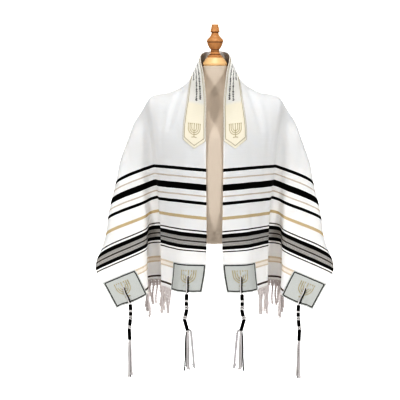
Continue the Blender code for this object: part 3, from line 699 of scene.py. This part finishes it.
def stitched_line(u, v, half_width, height, lift, closed=False, look=0):
    """A six-sided oval tube along a path on the flat cloth: across it half_width to each side, and height up."""
    points, out = on_cloth(np.asarray(u, float), np.asarray(v, float), lift)
    return tube(points, half_width, 6, out, height / half_width, closed, look)


def polyline(corners, spacing, closed=False):
    """Evenly spaced places along straight lines between corners, as two arrays."""
    corners = np.array(list(corners) + ([corners[0]] if closed else []), float)
    run = length_along(corners)
    at = np.linspace(0, run[-1], int(run[-1] / spacing) + 2)
    at = at[:-1] if closed else at
    return np.interp(at, run, corners[:, 0]), np.interp(at, run, corners[:, 1])


def lamp_strokes(scale):
    """The lamp's centre lines as arrays of (right, up), for an outer arm `scale` metres out to each side.

    An arm is a half circle below its centre, carried straight up to the top, where each has a short cup.
    """
    top, foot, cup = ARM_TOP * scale, FOOT * scale, CUP_HALF * np.array([(-1.0, 0.0), (1.0, 0.0)])
    angle = np.linspace(np.pi, 2 * np.pi, 25)
    half_circle = scale * np.stack([np.cos(angle), np.sin(angle)], 1)
    strokes = [np.concatenate([[(-share * scale, top)], share * half_circle, [(share * scale, top)]])
               for share in ARM_SHARES]
    strokes.append(np.stack([np.zeros(9), np.linspace(top, foot, 9)], 1))
    strokes.append(np.array([(-0.42 * scale, foot), (0.0, foot + 0.06 * scale), (0.42 * scale, foot)]))
    return strokes + [cup + (share * scale, top + 0.001) for share in CUP_SHARES]


def lamp(side, u, v, scale, half_width, lift):
    """The lamp sewn round (u, v) on one side of the shawl, with its arms pointing up the cloth."""
    return [stitched_line(side * (u - s[:, 1]), v + side * s[:, 0], half_width, 0.0007, lift)
            for s in lamp_strokes(scale)]


print("strokes in a lamp:", len(lamp_strokes(0.02)))

# %% Threads
def thread(name, scale, share, light, dark, roughness, strength, height, **sockets):
    """Twisted thread: light and dark by turns along it, with the light part standing `height` metres up."""
    made, tree, shader = finish(name, light, roughness, **sockets)
    twist = node(tree, "TexWave", {"Vector": node(tree, "UVMap").outputs[0], "Scale": scale}).outputs[1]
    coloured(tree, shader, mixed(tree, times(tree, twist, share), light, dark))
    bumped(tree, shader, twist, strength, height)
    return made


gold_thread = thread("gold_thread", 260.0, 0.35, (0.52, 0.45, 0.28), (0.38, 0.31, 0.17), 0.45, 0.4, 0.0002,
                     Metallic=0.1)
beige_braid = thread("beige_braid", 130.0, 1.0, (0.60, 0.54, 0.42), (0.42, 0.37, 0.28), 0.7, 0.5, 0.0003)
dark_braid = thread("dark_beige_braid", 130.0, 1.0, (0.012, 0.012, 0.012), (0.05, 0.05, 0.047), 0.6, 0.5, 0.0003)
print("threads:", gold_thread.name, beige_braid.name, dark_braid.name)

# %% [markdown]
# The band's edges are covered by a thin cord, with a flat braid a few millimetres in, and a lamp fills each
# cream end. Both lines could be cut from the band's mesh, but an outline moved in from the edges is easier to
# change: six corners joined by straight lines.

# %% Neckband's braid and embroidery
SIDES = ((1, "left"), (-1, "right"))
STITCH_TOP = BAND_LIFT + 0.0007 + 0.00045                       # height of the band's stitched face
PIPING = (  # in from the long edges, in from the points, half width, height, lift
    (0.0068, 0.0110, 0.0014, 0.0010, STITCH_TOP - 0.0002),
    (0.0010, 0.0012, 0.0007, 0.0007, BAND_LIFT + 0.0004),
)
BAND_LAMP = (0.378, BAND_WIDTH / 2, 0.0225, 0.0012, STITCH_TOP)  # along, across, reach, half width, lift


def band_outline(inset, tip_inset):
    """The band's outline, moved in from its long edges and from its points."""
    low, high, middle = inset, BAND_WIDTH - inset, BAND_WIDTH / 2
    tip, side = BAND_TIP - tip_inset, BAND_SHOULDER - tip_inset + 0.4 * inset
    return [(tip, middle), (side, high), (-side, high), (-tip, middle), (-side, low), (side, low)]


piping = [stitched_line(*polyline(band_outline(inset, tip_inset), 0.003, True), *size, True)
          for inset, tip_inset, *size in PIPING]
band_braid = piece("neckband_braid", piping, [beige_braid])
lamps = [part for side, _ in SIDES for part in lamp(side, *BAND_LAMP)]
band_lamps = piece("neckband_gold_thread", lamps, [gold_thread])

# %% [markdown]
# Dark stitches run in rows along the white part of the band: a plain ornament of small and large lozenges.
# They could be a picture laid on the satin, but stitches stand up from it and catch the light. Each is a low
# pyramid with five points, so hundreds of them cost little.

# %% Neckband's rows of lozenges
LOZENGE_ROWS = ((0.026, 0.278, 0.0), (0.045, 0.284, 1.3), (0.064, 0.190, 2.1))    # across, how far, phase


def lozenges(across, reach, phase):
    """Low pyramids in a row: a middle point and four corners, long and short ones by turns."""
    at = np.arange(0.016, reach, 0.0070)
    at = np.concatenate([-at[::-1], at])
    k = np.arange(len(at))
    long = 0.0028 + 0.0009 * (np.sin(2.1 * k + phase) > 0)
    wide = 0.0042 + 0.0022 * (np.sin(1.3 * k + phase) > -0.2)
    step_u, step_v = np.array([0, 1, 0, -1, 0]), np.array([0, 0, 1, 0, -1])
    points, _ = on_cloth(at[:, None] + long[:, None] * step_u, across + wide[:, None] * step_v,
                         np.where(step_u + step_v == 0, 0.0009, 0.0001)[None] * np.ones((len(at), 1)) + STITCH_TOP)
    corners = np.array([[0, 2, 1], [0, 3, 2], [0, 4, 3], [0, 1, 4]])
    base = 5 * k[:, None, None]
    return Part(points.reshape(-1, 3), np.zeros((5 * len(at), 2)), (np.array([[1, 2, 3, 4]]) + base).reshape(-1, 4),
                (corners + base).reshape(-1, 3), 0)


dark_stitch, tree, shader = finish("dark_stitches", (0.03, 0.03, 0.035), 0.6)
ply = noise(tree, object_place(tree), 900.0, 2.0)
coloured(tree, shader, mixed(tree, ply, (0.012, 0.012, 0.015), (0.09, 0.09, 0.10)))
bumped(tree, shader, ply, 0.5, 0.0004)
band_stitches = piece("neckband_lozenges", [lozenges(*row) for row in LOZENGE_ROWS], [dark_stitch],
                      smooth=False)

# %% [markdown]
# ## Corner patches
# A patch of silver-grey satin is sewn on each corner, where the tassel's cord goes through the cloth. It has
# a fine grid woven in, a dark braid a few millimetres in from its edges, and the lamp in gold thread. Each
# could be modelled once and copied, but the corners hang differently, so each patch reads its own corner.

# %% Patch satin
GRID_LINE = 0.0034
silver_satin, tree, shader = finish("silver_grey_satin", (0.60, 0.61, 0.58), 0.5, Specular_IOR_Level=0.35)
lines = [maths(tree, "POWER", maths(tree, "ABSOLUTE", wave(tree, way, 2 * GRID_LINE)), 0.6)
         for way in cloth_lengths(tree)]
cells = times(tree, *lines)
patchy = times(tree, noise(tree, object_place(tree), 45.0), 0.25)
tint = mixed(tree, patchy, mixed(tree, cells, (0.47, 0.48, 0.465), (0.69, 0.705, 0.69)), (0.60, 0.61, 0.54))
coloured(tree, shader, tint, maths(tree, "MULTIPLY_ADD", cells, -0.12, 0.5))
bumped(tree, shader, cells, 0.5, 0.00022)
print("nodes in the patches' satin:", len(tree.nodes))

# %% Patches
CORNERS = (("inner", 0.0, EYELET_ACROSS), ("outer", WIDTH - PATCH_ACROSS, WIDTH - EYELET_ACROSS))
PATCH_TOP, PATCH_LIFT = HALF_LENGTH - PATCH_ALONG, 0.0013
BRAID_TOP, BRAID_HEM, BRAID_IN = PATCH_TOP + 0.0050, HALF_LENGTH - 0.0060, 0.0055
PATCH_LAMP = (0.0262, 0.0016, PATCH_LIFT + 0.0009)              # reach, half width, lift


def patch_part(side, low):
    """The grid of one patch, whose long edge starts `low` metres across the cloth."""
    u, v = np.broadcast_arrays(side * np.linspace(PATCH_TOP, HALF_LENGTH, 50)[:, None],
                               np.linspace(low, low + PATCH_ACROSS, 58)[None])
    u, v = (u, v) if side > 0 else (u[::-1], v[::-1])
    edge = np.minimum(np.minimum(HALF_LENGTH - np.abs(u), np.abs(u) - PATCH_TOP),
                      np.minimum(v - low, low + PATCH_ACROSS - v))
    return sheet_part(u, v, sewn_lift(edge, 300 * (u + v), PATCH_LIFT, 0.0005, (0.001, 0.010), 0.0003, 0.006))


for side, hand in SIDES:
    for corner, low, middle in CORNERS:
        name, near, far = f"{corner}_{hand}", low + BRAID_IN, low + PATCH_ACROSS - BRAID_IN
        walled(piece(f"patch_cloth_{name}", [patch_part(side, low)], [silver_satin],
                                     [f"patch_{name}"]), SEWN_WALL)
        border = polyline([(side * BRAID_TOP, near), (side * BRAID_TOP, far), (side * BRAID_HEM, far),
                           (side * BRAID_HEM, near)], 0.002, True)
        piece(f"patch_braid_{name}", [stitched_line(*border, 0.0021, 0.0008, PATCH_LIFT + 0.0006, True)],
              [dark_braid])
        piece(f"patch_gold_{name}", lamp(side, HALF_LENGTH - 0.062, middle, *PATCH_LAMP), [gold_thread])

# %% [markdown]
# ## Corner tassels
# Each corner has a doubled cord pulled through an eyelet. Below the hem one dark strand is wound round the
# others, with double knots between the windings, and the rest hangs loose. A winding is a tube with a spiral
# ridge: its radius is R + r |cos(pi * length / pitch - angle / 2)|. A knot is a closed curve that goes round
# twice while it weaves in and out three times, with a cord carried along it. A loose strand is two yarns
# twisted, so its section is an oval that turns as it goes down.

# %% Cord materials
def yarn(name, light, dark):
    """Spun yarn: fine fibres, drawn out downwards, between a dark and a light colour."""
    made, tree, shader = finish(name, light, 0.8, Specular_IOR_Level=0.2)
    fibre = noise(tree, stretched(tree, object_place(tree), (1.0, 1.0, 0.35)), 700.0)
    coloured(tree, shader, mixed(tree, fibre, dark, light))
    bumped(tree, shader, fibre, 0.45, 0.0004)
    return made


black_cord = yarn("black_cord", (0.009, 0.008, 0.008), (0.002, 0.002, 0.002))
white_cord = yarn("white_cord", (0.82, 0.80, 0.785), (0.62, 0.60, 0.59))
pink_cord = yarn("pinkish_cord", (0.73, 0.705, 0.70), (0.54, 0.518, 0.512))
# Painted shade: a darker copy of the pinkish cord, for looped strands that hang apart in full light while bunched
# strands shade each other.
shaded_loop_cord = yarn("looped_cord_painted_shade", (0.62, 0.60, 0.605), (0.48, 0.465, 0.47))
CORDS = [black_cord, white_cord, pink_cord, shaded_loop_cord]
BLACK_LOOK, WHITE_LOOK, PINK_LOOK, SHADED_LOOP_LOOK = range(len(CORDS))
print("cords:", [cord.name for cord in CORDS])

# %% Windings and knots
WINDING_PITCH = 0.0019


def wound(start, end, radius):
    """A cord wound round a core: spiral ridges, one for each pitch of length, and rounded ends."""
    length = np.linalg.norm(end - start)
    share = np.linspace(0, 1, max(int(length / 0.00032), 8))[:, None]
    path = start + (end - start) * share
    angle = 2 * np.pi * np.arange(14)[None] / 14
    ridge = np.abs(np.cos(np.pi * share * length / WINDING_PITCH - angle / 2))
    closing = np.minimum(1.0, 0.72 + 0.28 * np.minimum(share, 1 - share) * length / 0.0016)
    return tube(path, radius * closing * (0.87 + 0.16 * ridge), 14, look=BLACK_LOOK)


def knot(centre, axis, radius, height, look):
    """A cord round the shank twice, in and out three times: (R + r cos 3t) turned by 2t, and r sin 3t up."""
    t = np.linspace(0, 2 * np.pi, 60, endpoint=False)
    axis = axis / np.linalg.norm(axis)
    one = np.cross(axis, (0.0, 1.0, 0.0))
    one /= np.linalg.norm(one)
    two = np.cross(axis, one)
    far = radius * (0.66 + 0.30 * np.cos(3 * t))
    path = (centre + far[:, None] * (np.cos(2 * t)[:, None] * one + np.sin(2 * t)[:, None] * two)
            + 0.42 * height * np.sin(3 * t)[:, None] * axis)
    return tube(path, 0.32 * radius, 7, up=path - centre + 1e-6, closed=True, look=look)


print("helpers for windings and knots ready")

# %% Twisted cords and smooth lines
def twisted(path, radius, look, end_knot=0.0, pitch=0.0075, flare=0.0):
    """Two yarns twisted: radius * (1 + 0.2 cos(2 * angle - turns)), with a bulge for a knot near the end.

    `flare` widens its start by that share, and it narrows over its last few millimetres.
    """
    run = length_along(path)
    at = np.linspace(0, run[-1], max(int(run[-1] / 0.0012), 6))
    path = np.stack([np.interp(at, run, path[:, k]) for k in range(3)], axis=1)
    at, left = at[:, None], run[-1] - at[:, None]
    angle = 2 * np.pi * np.arange(8)[None] / 8
    size = radius * (1 + 0.2 * np.cos(2 * angle - 2 * np.pi * at / pitch))
    size = size * (1 + end_knot * np.exp(-((0.008 - left) / 0.0028) ** 2))
    size = size * np.minimum(1.0, 0.55 + left / 0.004) * (1 + flare * (1 - blend(0.014, 0.034, at)))
    return tube(path, size, 8, look=look)


def bent(points, count=60):
    """A smooth line through a few points."""
    points = np.asarray(points, float)
    run = length_along(points)
    return smooth_curves(run[None], points[None], np.linspace(0, run[-1], count)[None])[0]


print("helpers for cords ready")

# %% [markdown]
# A tassel is read from top to bottom: the doubled cord from the eyelet to the hem, windings and knots by turns
# down a spine that sways a little, and eight loose strands that spread from its end. It could hang dead
# straight, but a cord that has been folded keeps its bends, so a short table says how far it sways.

# %% What a tassel is made of
TASSEL_PARTS = (         # length, and whether it is knotted or wound, from the hem down
    (0.0205, False), (0.0070, True), (0.0135, False), (0.0150, True), (0.0230, False), (0.0120, True),
    (0.0430, False))
WOUND_RADIUS, KNOT_RADIUS, CORE_RADIUS, LOOSE_LENGTH, EYELET_RADIUS = 0.0063, 0.0064, 0.0030, 0.146, 0.0046
SPINE_LIFT, CORD_LIFT = 0.00535, 0.0044
TASSEL_SWAY = {          # depth below the hem, how far outwards
    "inner": ((0.0, 0.0), (0.015, 0.0), (0.037, 0.0017), (0.060, -0.0004), (0.083, 0.0045), (0.094, 0.0088),
              (0.118, 0.0040), (0.140, -0.0035), (0.30, -0.0035)),
    "outer": ((0.0, 0.0), (0.020, -0.0013), (0.045, -0.0010), (0.060, 0.0005), (0.085, 0.0030), (0.105, 0.0072),
              (0.127, 0.0050), (0.150, 0.0020), (0.30, -0.0010)),
}
STRAND_RADIUS = (0.0017, 0.0026, 0.0026, 0.0037)      # in the order of the looks
LOOSE_ENDS = {           # each loose strand's end: outwards, back, share of the length, look
    "inner": ((0.0105, -0.002, 1.05, BLACK_LOOK), (0.0098, 0.003, 1.03, BLACK_LOOK),
              (0.0045, 0.003, 0.96, PINK_LOOK), (0.0006, -0.003, 1.0, PINK_LOOK), (-0.0030, 0.003, 0.98, PINK_LOOK),
              (-0.0066, -0.001, 1.03, PINK_LOOK), (-0.0240, -0.001, 0.98, SHADED_LOOP_LOOK),
              (-0.0215, 0.004, 0.95, SHADED_LOOP_LOOK)),
    "outer": ((0.0066, 0.001, 1.0, PINK_LOOK), (0.0040, 0.006, 0.95, PINK_LOOK), (-0.0006, 0.0045, 1.02, BLACK_LOOK),
              (-0.0012, 0.007, 0.96, PINK_LOOK), (0.0016, 0.003, 0.97, PINK_LOOK), (-0.0040, 0.006, 0.93, PINK_LOOK),
              (-0.0068, 0.001, 0.95, PINK_LOOK), (0.0030, -0.002, 0.99, PINK_LOOK)),
}


print("loose strands on a tassel:", {corner: len(ends) for corner, ends in LOOSE_ENDS.items()})

# %% Tassels
CORD_CROSSES = 0.0545                                           # where the cord crosses the hem


def tassel(side, corner):
    """Cord over the patch, windings and knots down to the loose strands; returns its parts."""
    back = np.array([EYELET_IN, 0.038, 0.024, 0.010, 0.002])
    at, across = side * (HALF_LENGTH - back), CORD_CROSSES + (EYELET_ACROSS - CORD_CROSSES) * back / EYELET_IN
    across = across if corner == "inner" else WIDTH - across
    way_out = read_grid(PLAIN_OUT, at, across)
    way_out = way_out / np.linalg.norm(way_out, axis=1, keepdims=True)
    spine = read_grid(plain_cloth, at, across) + way_out * SPINE_LIFT
    hem = spine[-1] + (spine[-1] - spine[-2]) / np.linalg.norm(spine[-1] - spine[-2]) * 0.004
    sway = np.array(TASSEL_SWAY[corner])

    def below(depth):
        return hem + np.array([side * np.interp(depth, sway[:, 0], sway[:, 1]), 0.0, -depth])

    parts = []
    for offset, look, radius in ((-0.0024, WHITE_LOOK, 0.0023), (0.0022, BLACK_LOOK, 0.0017)):
        start, _ = on_cloth(at[:1], across[:1], 0.0010)
        lying, _ = on_cloth(at, across + side * offset * np.array([0.3, 0.9, 1.0, 1.0, 0.9]), CORD_LIFT)
        path = bent(np.concatenate([start, lying, [hem], [below(0.006)]]), 90)
        parts.append(twisted(path, radius, look))
    depth = 0.003
    for length, knotted in TASSEL_PARTS:
        top, end = below(depth), below(depth + length)
        if knotted:
            for share in (0.27, 0.73):
                parts.append(knot(top + (end - top) * share, end - top, KNOT_RADIUS, length * 0.42, WHITE_LOOK))
            parts.append(twisted(bent([top, (top + end) / 2, end], 12), CORE_RADIUS, WHITE_LOOK))
            parts.append(knot((top + end) / 2, end - top, KNOT_RADIUS * 0.86, length * 0.30, BLACK_LOOK))
        else:
            parts.append(wound(top, end, WOUND_RADIUS))
        depth += length
    root = below(depth)
    parts.append(knot(root + (0, 0, -0.002), np.array([0.0, 0.0, -1.0]), KNOT_RADIUS * 0.85, 0.006, WHITE_LOOK))
    for k, (out, back, share, look) in enumerate(LOOSE_ENDS[corner]):
        down = np.linspace(0, 1, 14) ** 1.5
        hump = 0.011 * np.sin(np.pi * np.clip(down * 5, 0, 1)) if abs(out) > 0.02 else 0.0
        ease = down**0.28
        path = root + np.stack([side * (out * ease + 0.0011 * np.sin(7 * down + 1.7 * k) * down),
                                back * ease + 0.0012 * np.sin(5 * down + 2.3 * k) * down,
                                hump - down * LOOSE_LENGTH * share], axis=1)
        parts.append(twisted(bent(path, 90), STRAND_RADIUS[look], look, end_knot=0.6))
    return parts


for side, hand in SIDES:
    for corner, _, middle in CORNERS:
        name, angle = f"{corner}_{hand}", around(24)
        ring = stitched_line(side * (HALF_LENGTH - EYELET_IN + EYELET_RADIUS * np.cos(angle)),
                             middle + EYELET_RADIUS * np.sin(angle), 0.0011, 0.0009, PATCH_LIFT + 0.0010, True,
                             WHITE_LOOK)
        piece(f"tassel_cords_{name}", tassel(side, corner) + [ring], CORDS, [f"tassel_{name}"])

# %% [markdown]
# ## The fringe
# Between the patches the long yarns of the cloth are left uncut below the last stripe, and twisted in
# bunches. Each bunch starts wide where it leaves the cloth and ends in a small knot. Hair particles could do
# it, but they don't leave a plain mesh behind. Here each bunch is a twisted cord that starts from its own place
# on the draped edge, and sine waves of its number make the bunches differ.

# %% Fringe
fringe_yarn = yarn("fringe_yarn", (0.82, 0.765, 0.745), (0.64, 0.59, 0.575))
FRINGE_STRANDS, FRINGE_LENGTH, BUNCH_RADIUS = 24, 0.088, 0.0034
for side, hand in SIDES:
    first, last = PATCH_ACROSS + 0.004, WIDTH - PATCH_ACROSS - 0.004
    parts = []
    for k in range(FRINGE_STRANDS):
        across = first + (last - first) / FRINGE_STRANDS * (k + 0.5)
        hem, _ = on_cloth(side * HALF_LENGTH, across)
        inside, _ = on_cloth(side * (HALF_LENGTH - 0.004), across)
        near = hem + (hem - inside) / np.linalg.norm(hem - inside) * 0.006
        long = FRINGE_LENGTH * (1.0 + 0.14 * np.sin(2.9 * k))
        down = np.linspace(0.06, 1, 6)[:, None]
        lean = np.array([side * 0.008 * np.sin(2.4 * k + 0.6), 0.006 * np.sin(1.7 * k + 1.0), 0.0])
        bends = np.concatenate([0.0018 * np.sin(6 * down + k), 0.0014 * np.cos(5 * down + 2 * k), -down * long], 1)
        path = bent(np.concatenate([[inside], [near], near + lean * down**1.3 + bends]), 60)
        parts.append(twisted(path, BUNCH_RADIUS * (1 + 0.15 * np.sin(1.9 * k)), 0, 0.30, 0.011, 0.9))
    piece(f"fringe_yarns_{hand}", parts, [fringe_yarn], [f"fringe_{hand}"])

# %% [markdown]

# %% [markdown]
# ## The dress form
# The form is a padded body with a tight beige cover, no arms and no legs. A lathe can't make it, because it is
# wider than it is deep, so its section is two half ovals that share a width: one depth in front, one behind.
# The sections follow the solid's own levels, with a cubic between them, which takes the facets out. The cover
# is knitted: fine ribs, and a faint cloudiness from wear.

# %% Levels of the form
FORM_LEVELS = (  # height; half width; depth in front; depth behind
    (0.786, 0.144, 0.088, 0.100), (0.792, 0.150, 0.093, 0.107), (0.835, 0.156, 0.106, 0.112),
    (0.870, 0.150, 0.117, 0.112), (0.900, 0.142, 0.124, 0.110), (0.975, 0.130, 0.1275, 0.100),
    (1.050, 0.137, 0.1275, 0.104), (1.120, 0.152, 0.126, 0.115), (1.180, 0.174, 0.1195, 0.122),
    (1.230, 0.192, 0.092, 0.118), (1.268, 0.198, 0.070, 0.110), (1.292, 0.187, 0.057, 0.099),
    (1.310, 0.157, 0.048, 0.088), (1.326, 0.114, 0.044, 0.076), (1.342, 0.085, 0.043, 0.067),
    (1.358, 0.068, 0.043, 0.062), (1.378, 0.056, 0.044, 0.056), (1.400, 0.049, 0.043, 0.049),
    (1.4176, 0.044, 0.042, 0.044),
)


def rings_part(rings, uv_height):
    """Rings of points joined into a skin, with a fan at each end; rings go up and turn to the left."""
    count, sides = rings.shape[:2]
    points = np.concatenate([rings.reshape(-1, 3), [rings[0].mean(0)], [rings[-1].mean(0)]])
    uv = np.stack(np.broadcast_arrays(np.arange(sides)[None] / sides, uv_height[:, None]), -1).reshape(-1, 2)
    return Part(points, np.concatenate([uv, uv[[0, -1]]]), grid_faces(count, sides, wrap=True),
                end_fans(count, sides), 0)


levels = np.array(FORM_LEVELS)
heights = np.concatenate([np.linspace(0.786, 0.800, 8), np.linspace(0.804, 1.4176, 150)])
shape = smooth_curves(levels[None, :, 0], levels[None, :, 1:], heights[None])[0]
angle = around(112)
depth = np.where(np.sin(angle)[None] < 0, shape[:, 1:2], shape[:, 2:3])
rings = np.stack(np.broadcast_arrays(shape[:, :1] * np.cos(angle), depth * np.sin(angle), heights[:, None]), -1)
print("widest level of the form: %.3f m" % (2 * shape[:, 0].max()))

# %% Form cover
form_cover, tree, shader = finish("beige_form_cover", (0.86, 0.73, 0.60), 0.7, Sheen_Weight=0.05,
                                  Specular_IOR_Level=0.2)
place = object_place(tree)
knit = node(tree, "TexWave", {"Vector": place, "Scale": 300.0, "Distortion": 0.6}, bands_direction="Z").outputs[1]
wale = noise(tree, stretched(tree, place, (1.0, 1.0, 0.06)), 420.0, 2.0)
tint = mixed(tree, times(tree, wale, 0.5), (0.70, 0.62, 0.535), (0.63, 0.545, 0.455))
coloured(tree, shader, mixed(tree, times(tree, noise(tree, place, 6.0), 0.18), tint, (0.62, 0.51, 0.40)))
bumped(tree, shader, maths(tree, "ADD", wale, times(tree, knit, 0.4)), 0.3, 0.0003)
piece("form_cover", [rings_part(rings, heights)], [form_cover], ["form_torso"])

# %% [markdown]
# ## Turned wood and painted steel
# The cap and the finial came off a wood lathe, and the pole, its socket and the base are turned steel. A
# Screw modifier could turn a profile, but a function of angle and height keeps the mesh in arrays like the
# rest: each profile is a list of radius and height, with a small arc added at every sharp corner.

# %% Lathe
def turned(profile, sides, round_off):
    """Points (radius, height) turned round the upright axis; each corner is cut back by `round_off` and curved."""
    profile = np.array(profile, float)
    cut, t = [profile[:1]], np.linspace(0, 1, 6)[:, None]
    for before, corner, after in zip(profile[:-2], profile[1:-1], profile[2:]):
        one, two = (corner + way * min(round_off / np.linalg.norm(way), 0.45)
                    for way in (before - corner, after - corner))
        cut.append((1 - t) ** 2 * one + 2 * t * (1 - t) * corner + t**2 * two)
    profile = np.concatenate(cut + [profile[-1:]])
    profile, angle = profile[profile[:, 0] > 1e-5], around(sides)
    rings = np.stack(np.broadcast_arrays(profile[:, :1] * np.cos(angle), profile[:, :1] * np.sin(angle),
                                         profile[:, 1:]), -1)
    return rings_part(rings, profile[:, 1])


print("lathe ready")

# %% Wood
def wood(name, light, dark, groove_shade_colour, grooves=()):
    """Long grain up the turning: noise drawn out along Z, with painted shade darkening the grooves at given heights.
    """
    made, tree, shader = finish(name, light, 0.4, Specular_IOR_Level=0.35, Coat_Weight=0.35, Coat_Roughness=0.22)
    place = object_place(tree)
    grain = noise(tree, stretched(tree, place, (1.0, 1.0, 0.12)), 190.0, 5.0)
    rings = noise(tree, stretched(tree, place, (1.0, 1.0, 0.25)), 55.0, 2.0)
    tint = mixed(tree, maths(tree, "MULTIPLY_ADD", rings, 0.6, times(tree, grain, 0.35)), light, dark)
    height = node(tree, "SeparateXYZ", {0: place}).outputs[2]
    # Painted shade: at each groove's height the colour turns towards the groove's shade colour.
    for level, half in grooves:
        painted_groove_shade = node(tree, "MapRange", {0: distance_from(tree, height, level), 1: 0.0, 2: half, 3: 0.9, 4: 0.0})
        tint = mixed(tree, painted_groove_shade.outputs[0], tint, groove_shade_colour)
    coloured(tree, shader, tint, maths(tree, "MULTIPLY_ADD", grain, 0.14, 0.36))
    bumped(tree, shader, grain, 0.15, 0.0003)
    return made


pale_wood = wood("pale_golden_wood", (0.92, 0.65, 0.37), (0.90, 0.60, 0.31), (0.55, 0.32, 0.13))
# Heights where painted shade darkens the finial's grooves.
GROOVES = (  # height, half width
    (1.4572, 0.0022), (1.4684, 0.0018), (1.4738, 0.0030), (1.4996, 0.0020), (1.5345, 0.0030), (1.5015, 0.0008))
brown_wood = wood("orange_brown_wood", (0.74, 0.42, 0.20), (0.48, 0.23, 0.09), (0.14, 0.055, 0.02), GROOVES)
print("woods:", pale_wood.name, brown_wood.name)

# %% Cap and finial
CAP_PROFILE = (  # radius, height
    (0.0, 1.418), (0.0425, 1.418), (0.0442, 1.4245), (0.0438, 1.4265), (0.0372, 1.4365),
    (0.0310, 1.4455), (0.0292, 1.4468), (0.0, 1.4468),
)
FINIAL_PROFILE = (
    (0.0, 1.4472), (0.0264, 1.4472), (0.0274, 1.4492), (0.0264, 1.4530), (0.0214, 1.4550), (0.0190, 1.4570),
    (0.0198, 1.4592), (0.0180, 1.4640), (0.0168, 1.4672), (0.0146, 1.4684), (0.0164, 1.4704),
    (0.0151, 1.4738), (0.0176, 1.4775), (0.0215, 1.4820), (0.0246, 1.4888), (0.0282, 1.4980),
    (0.0277, 1.4994), (0.0296, 1.5012), (0.0302, 1.5060), (0.0280, 1.5100), (0.0205, 1.5170),
    (0.0167, 1.5220), (0.0124, 1.5338), (0.0172, 1.5370), (0.0170, 1.5398), (0.0138, 1.5520),
    (0.0122, 1.5622), (0.0, 1.564),
)
piece("neck_cap_wood", [turned(CAP_PROFILE, 72, 0.0012)], [pale_wood], ["neck_cap"])
piece("finial_wood", [turned(FINIAL_PROFILE, 72, 0.0005)], [brown_wood], ["finial"])

# %% [markdown]
# The stand holds the form at the height of a person: a pole that ends under the form, a collar round its foot,
# and a heavy round base. Cylinders with a bevel would do, but the lathe is at hand. The paint is white, with a
# fine orange peel and a little wear. The steel also has a painted glow: a faint emission, though it is no lamp,
# so that it stays white in the background.

# %% Stand
# Painted glow: an emission makes the steel shine white although it is no lamp.
glowing_white_steel, tree, shader = finish("white_steel_painted_glow", (0.9, 0.9, 0.9), 0.4, Emission_Strength=0.35,
                                   Emission_Color=(1.0, 1.0, 1.0, 1.0))
peel, wear = noise(tree, object_place(tree), 420.0, 2.0), noise(tree, object_place(tree), 18.0, 4.0)
coloured(tree, shader, mixed(tree, times(tree, wear, 0.10), (0.92, 0.92, 0.92), (0.80, 0.79, 0.77)),
         maths(tree, "MULTIPLY_ADD", wear, 0.2, 0.24))
bumped(tree, shader, peel, 0.12, 0.0004)
POLE = ((0.0, 0.0124), (0.0125, 0.0124), (0.0125, 0.7856), (0.0, 0.7856))
SOCKET = ((0.0130, 0.0124), (0.0210, 0.0124), (0.0210, 0.0400), (0.0180, 0.0430), (0.0130, 0.0430))
BASE = ((0.0, 0.0), (0.188, 0.0), (0.190, 0.002), (0.190, 0.009), (0.186, 0.012), (0.0, 0.012))
piece("pole_steel", [turned(POLE, 48, 0.0008)], [glowing_white_steel], ["pole"])
piece("socket_steel", [turned(SOCKET, 64, 0.0012)], [glowing_white_steel], ["pole_socket"])
piece("base_steel", [turned(BASE, 96, 0.0015)], [glowing_white_steel], ["base"])
